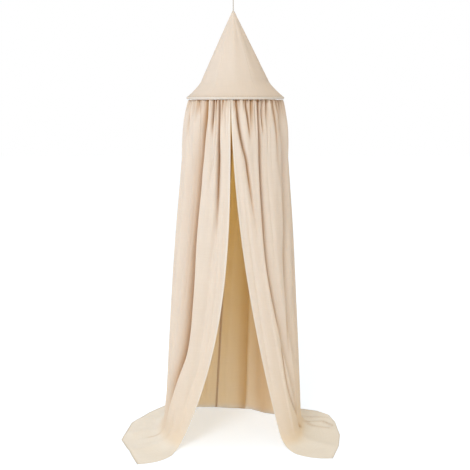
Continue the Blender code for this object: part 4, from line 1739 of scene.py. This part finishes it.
@dataclass
class Studio:
    """The camera, the pale floor and the soft light."""

    lens: float = 58.5
    distance: float = 4.0
    aside: float = 0.009
    pitch: float = math.radians(10.17)
    view_end: float = 100.0
    floor_size: float = 40.0
    floor_gap: float = 0.0005
    floor_colour: str = "C6D2E0"
    floor_roughness: float = 0.9
    floor_specular: float = 0.1
    floor_glow: float = 0.50
    white: str = "FFFFFF"
    sky_bright: str = "FAFCFF"
    sky_dim: str = "D8C9AC"
    sky_strength: float = 1.08
    sky_heading: float = math.radians(150.0)
    key_watts: float = 105.0
    key_size: float = 1.6
    key_place: tuple[float, float, float] = (-1.3, -3.6, 1.9)

    def build_camera(self) -> None:
        """Set the camera at the photograph's angle."""
        data = bpy.data.cameras.new("camera")
        data.lens = self.lens
        data.clip_end = self.view_end
        camera = add_object("camera", data)
        camera.location = (self.aside, -self.distance, PLACES.hoop + PLACES.floor)
        camera.rotation_euler = (math.pi / 2 - self.pitch, 0.0, 0.0)
        bpy.context.scene.camera = camera

    def build_floor(self) -> None:
        """Lay the floor just under the cloth.

        It is matt white paper. Its colour is cooled against the warm sky, and its glow keeps it near white.
        """
        half = self.floor_size / 2
        height = PLACES.floor - self.floor_gap
        corners = [(x, y, height) for x, y in ((-half, -half), (half, -half), (half, half), (-half, half))]
        mesh = bpy.data.meshes.new("floor")
        mesh.from_pydata(corners, [], [(0, 1, 2, 3)])
        material, tree, shader = start_material("matt paper, white")
        feed(tree, shader, {
            "Base Color": linear(self.floor_colour),
            "Roughness": self.floor_roughness,
            "Specular IOR Level": self.floor_specular,
            "Emission Color": linear(self.white),
            "Emission Strength": self.floor_glow,
        })
        mesh.materials.append(material)
        add_object("floor", mesh)

    def build_key(self) -> None:
        """Stand a square soft light at the front left, aimed at the skirt."""
        data = bpy.data.lights.new("key", "AREA")
        data.shape = "SQUARE"
        data.size = self.key_size
        data.energy = self.key_watts
        data.color = linear(self.white)[:3]
        light = add_object("key", data)
        light.location = self.key_place
        aim = Vector((0.0, 0.0, PLACES.hoop / 2 + PLACES.floor))
        light.rotation_euler = (aim - Vector(self.key_place)).to_track_quat("-Z", "Y").to_euler()

    def build_sky(self) -> None:
        """Set the sky, brighter and cooler on one side. The camera sees it plain white."""
        world = bpy.data.worlds.new("studio")
        world.use_nodes = True
        tree = world.node_tree
        direction = add_node(tree, "ShaderNodeTexCoord").outputs["Generated"]
        heading = (math.cos(self.sky_heading), math.sin(self.sky_heading), 0.0)
        turned = {0: direction, 1: heading}
        towards = add_node(tree, "ShaderNodeVectorMath", turned, operation="DOT_PRODUCT").outputs["Value"]
        share = add_node(tree, "ShaderNodeMapRange", {"Value": towards, "From Min": -1.0}).outputs["Result"]
        shades = {0: share, 6: linear(self.sky_dim), 7: linear(self.sky_bright)}
        colour = add_node(tree, "ShaderNodeMix", shades, data_type="RGBA").outputs[2]
        sky = tree.nodes["Background"]
        feed(tree, sky, {"Color": colour, "Strength": self.sky_strength})
        white = add_node(tree, "ShaderNodeBackground", {"Color": linear(self.white), "Strength": 1.0})
        path = add_node(tree, "ShaderNodeLightPath").outputs["Is Camera Ray"]
        seen = {0: path, 1: sky.outputs["Background"], 2: white.outputs["Background"]}
        both = add_node(tree, "ShaderNodeMixShader", seen).outputs["Shader"]
        feed(tree, tree.nodes["World Output"], {"Surface": both})
        bpy.context.scene.world = world

    def build(self) -> None:
        """Build the whole studio."""
        self.build_camera()
        self.build_floor()
        self.build_sky()
        self.build_key()
        bpy.context.scene.view_settings.view_transform = "Standard"


def main() -> None:
    """Build the studio and every sub-assembly, and report each piece."""
    logging.basicConfig(level=logging.INFO, format="%(name)s: %(message)s")
    Studio().build()
    cord = HangingCord().build(GREY_CORD.material())
    skirt_cloth = SKIRT_COTTON.material()
    thread = SEWING_THREAD.material()
    roof = Roof().build(SHADED_ROOF_COTTON.material(), thread)
    hoop = Hoop().build(HOOP_TUBE.material())
    left = SkirtPanel(
        "skirt_left_cloth", Hand.LEFT, LEFT_SECTIONS, LEFT_FOLDS, LEFT_CREASES, LEFT_RIPPLES, seed=11
    ).build(skirt_cloth, thread)
    right = SkirtPanel(
        "skirt_right_cloth", Hand.RIGHT, RIGHT_SECTIONS, RIGHT_FOLDS, RIGHT_CREASES, RIGHT_RIPPLES, seed=23
    ).build(skirt_cloth, thread)
    for piece in [*cord, roof, hoop, left, right]:
        LOG.info("%s: %d faces", piece.name, len(piece.data.polygons))


if __name__ == "__main__":
    main()
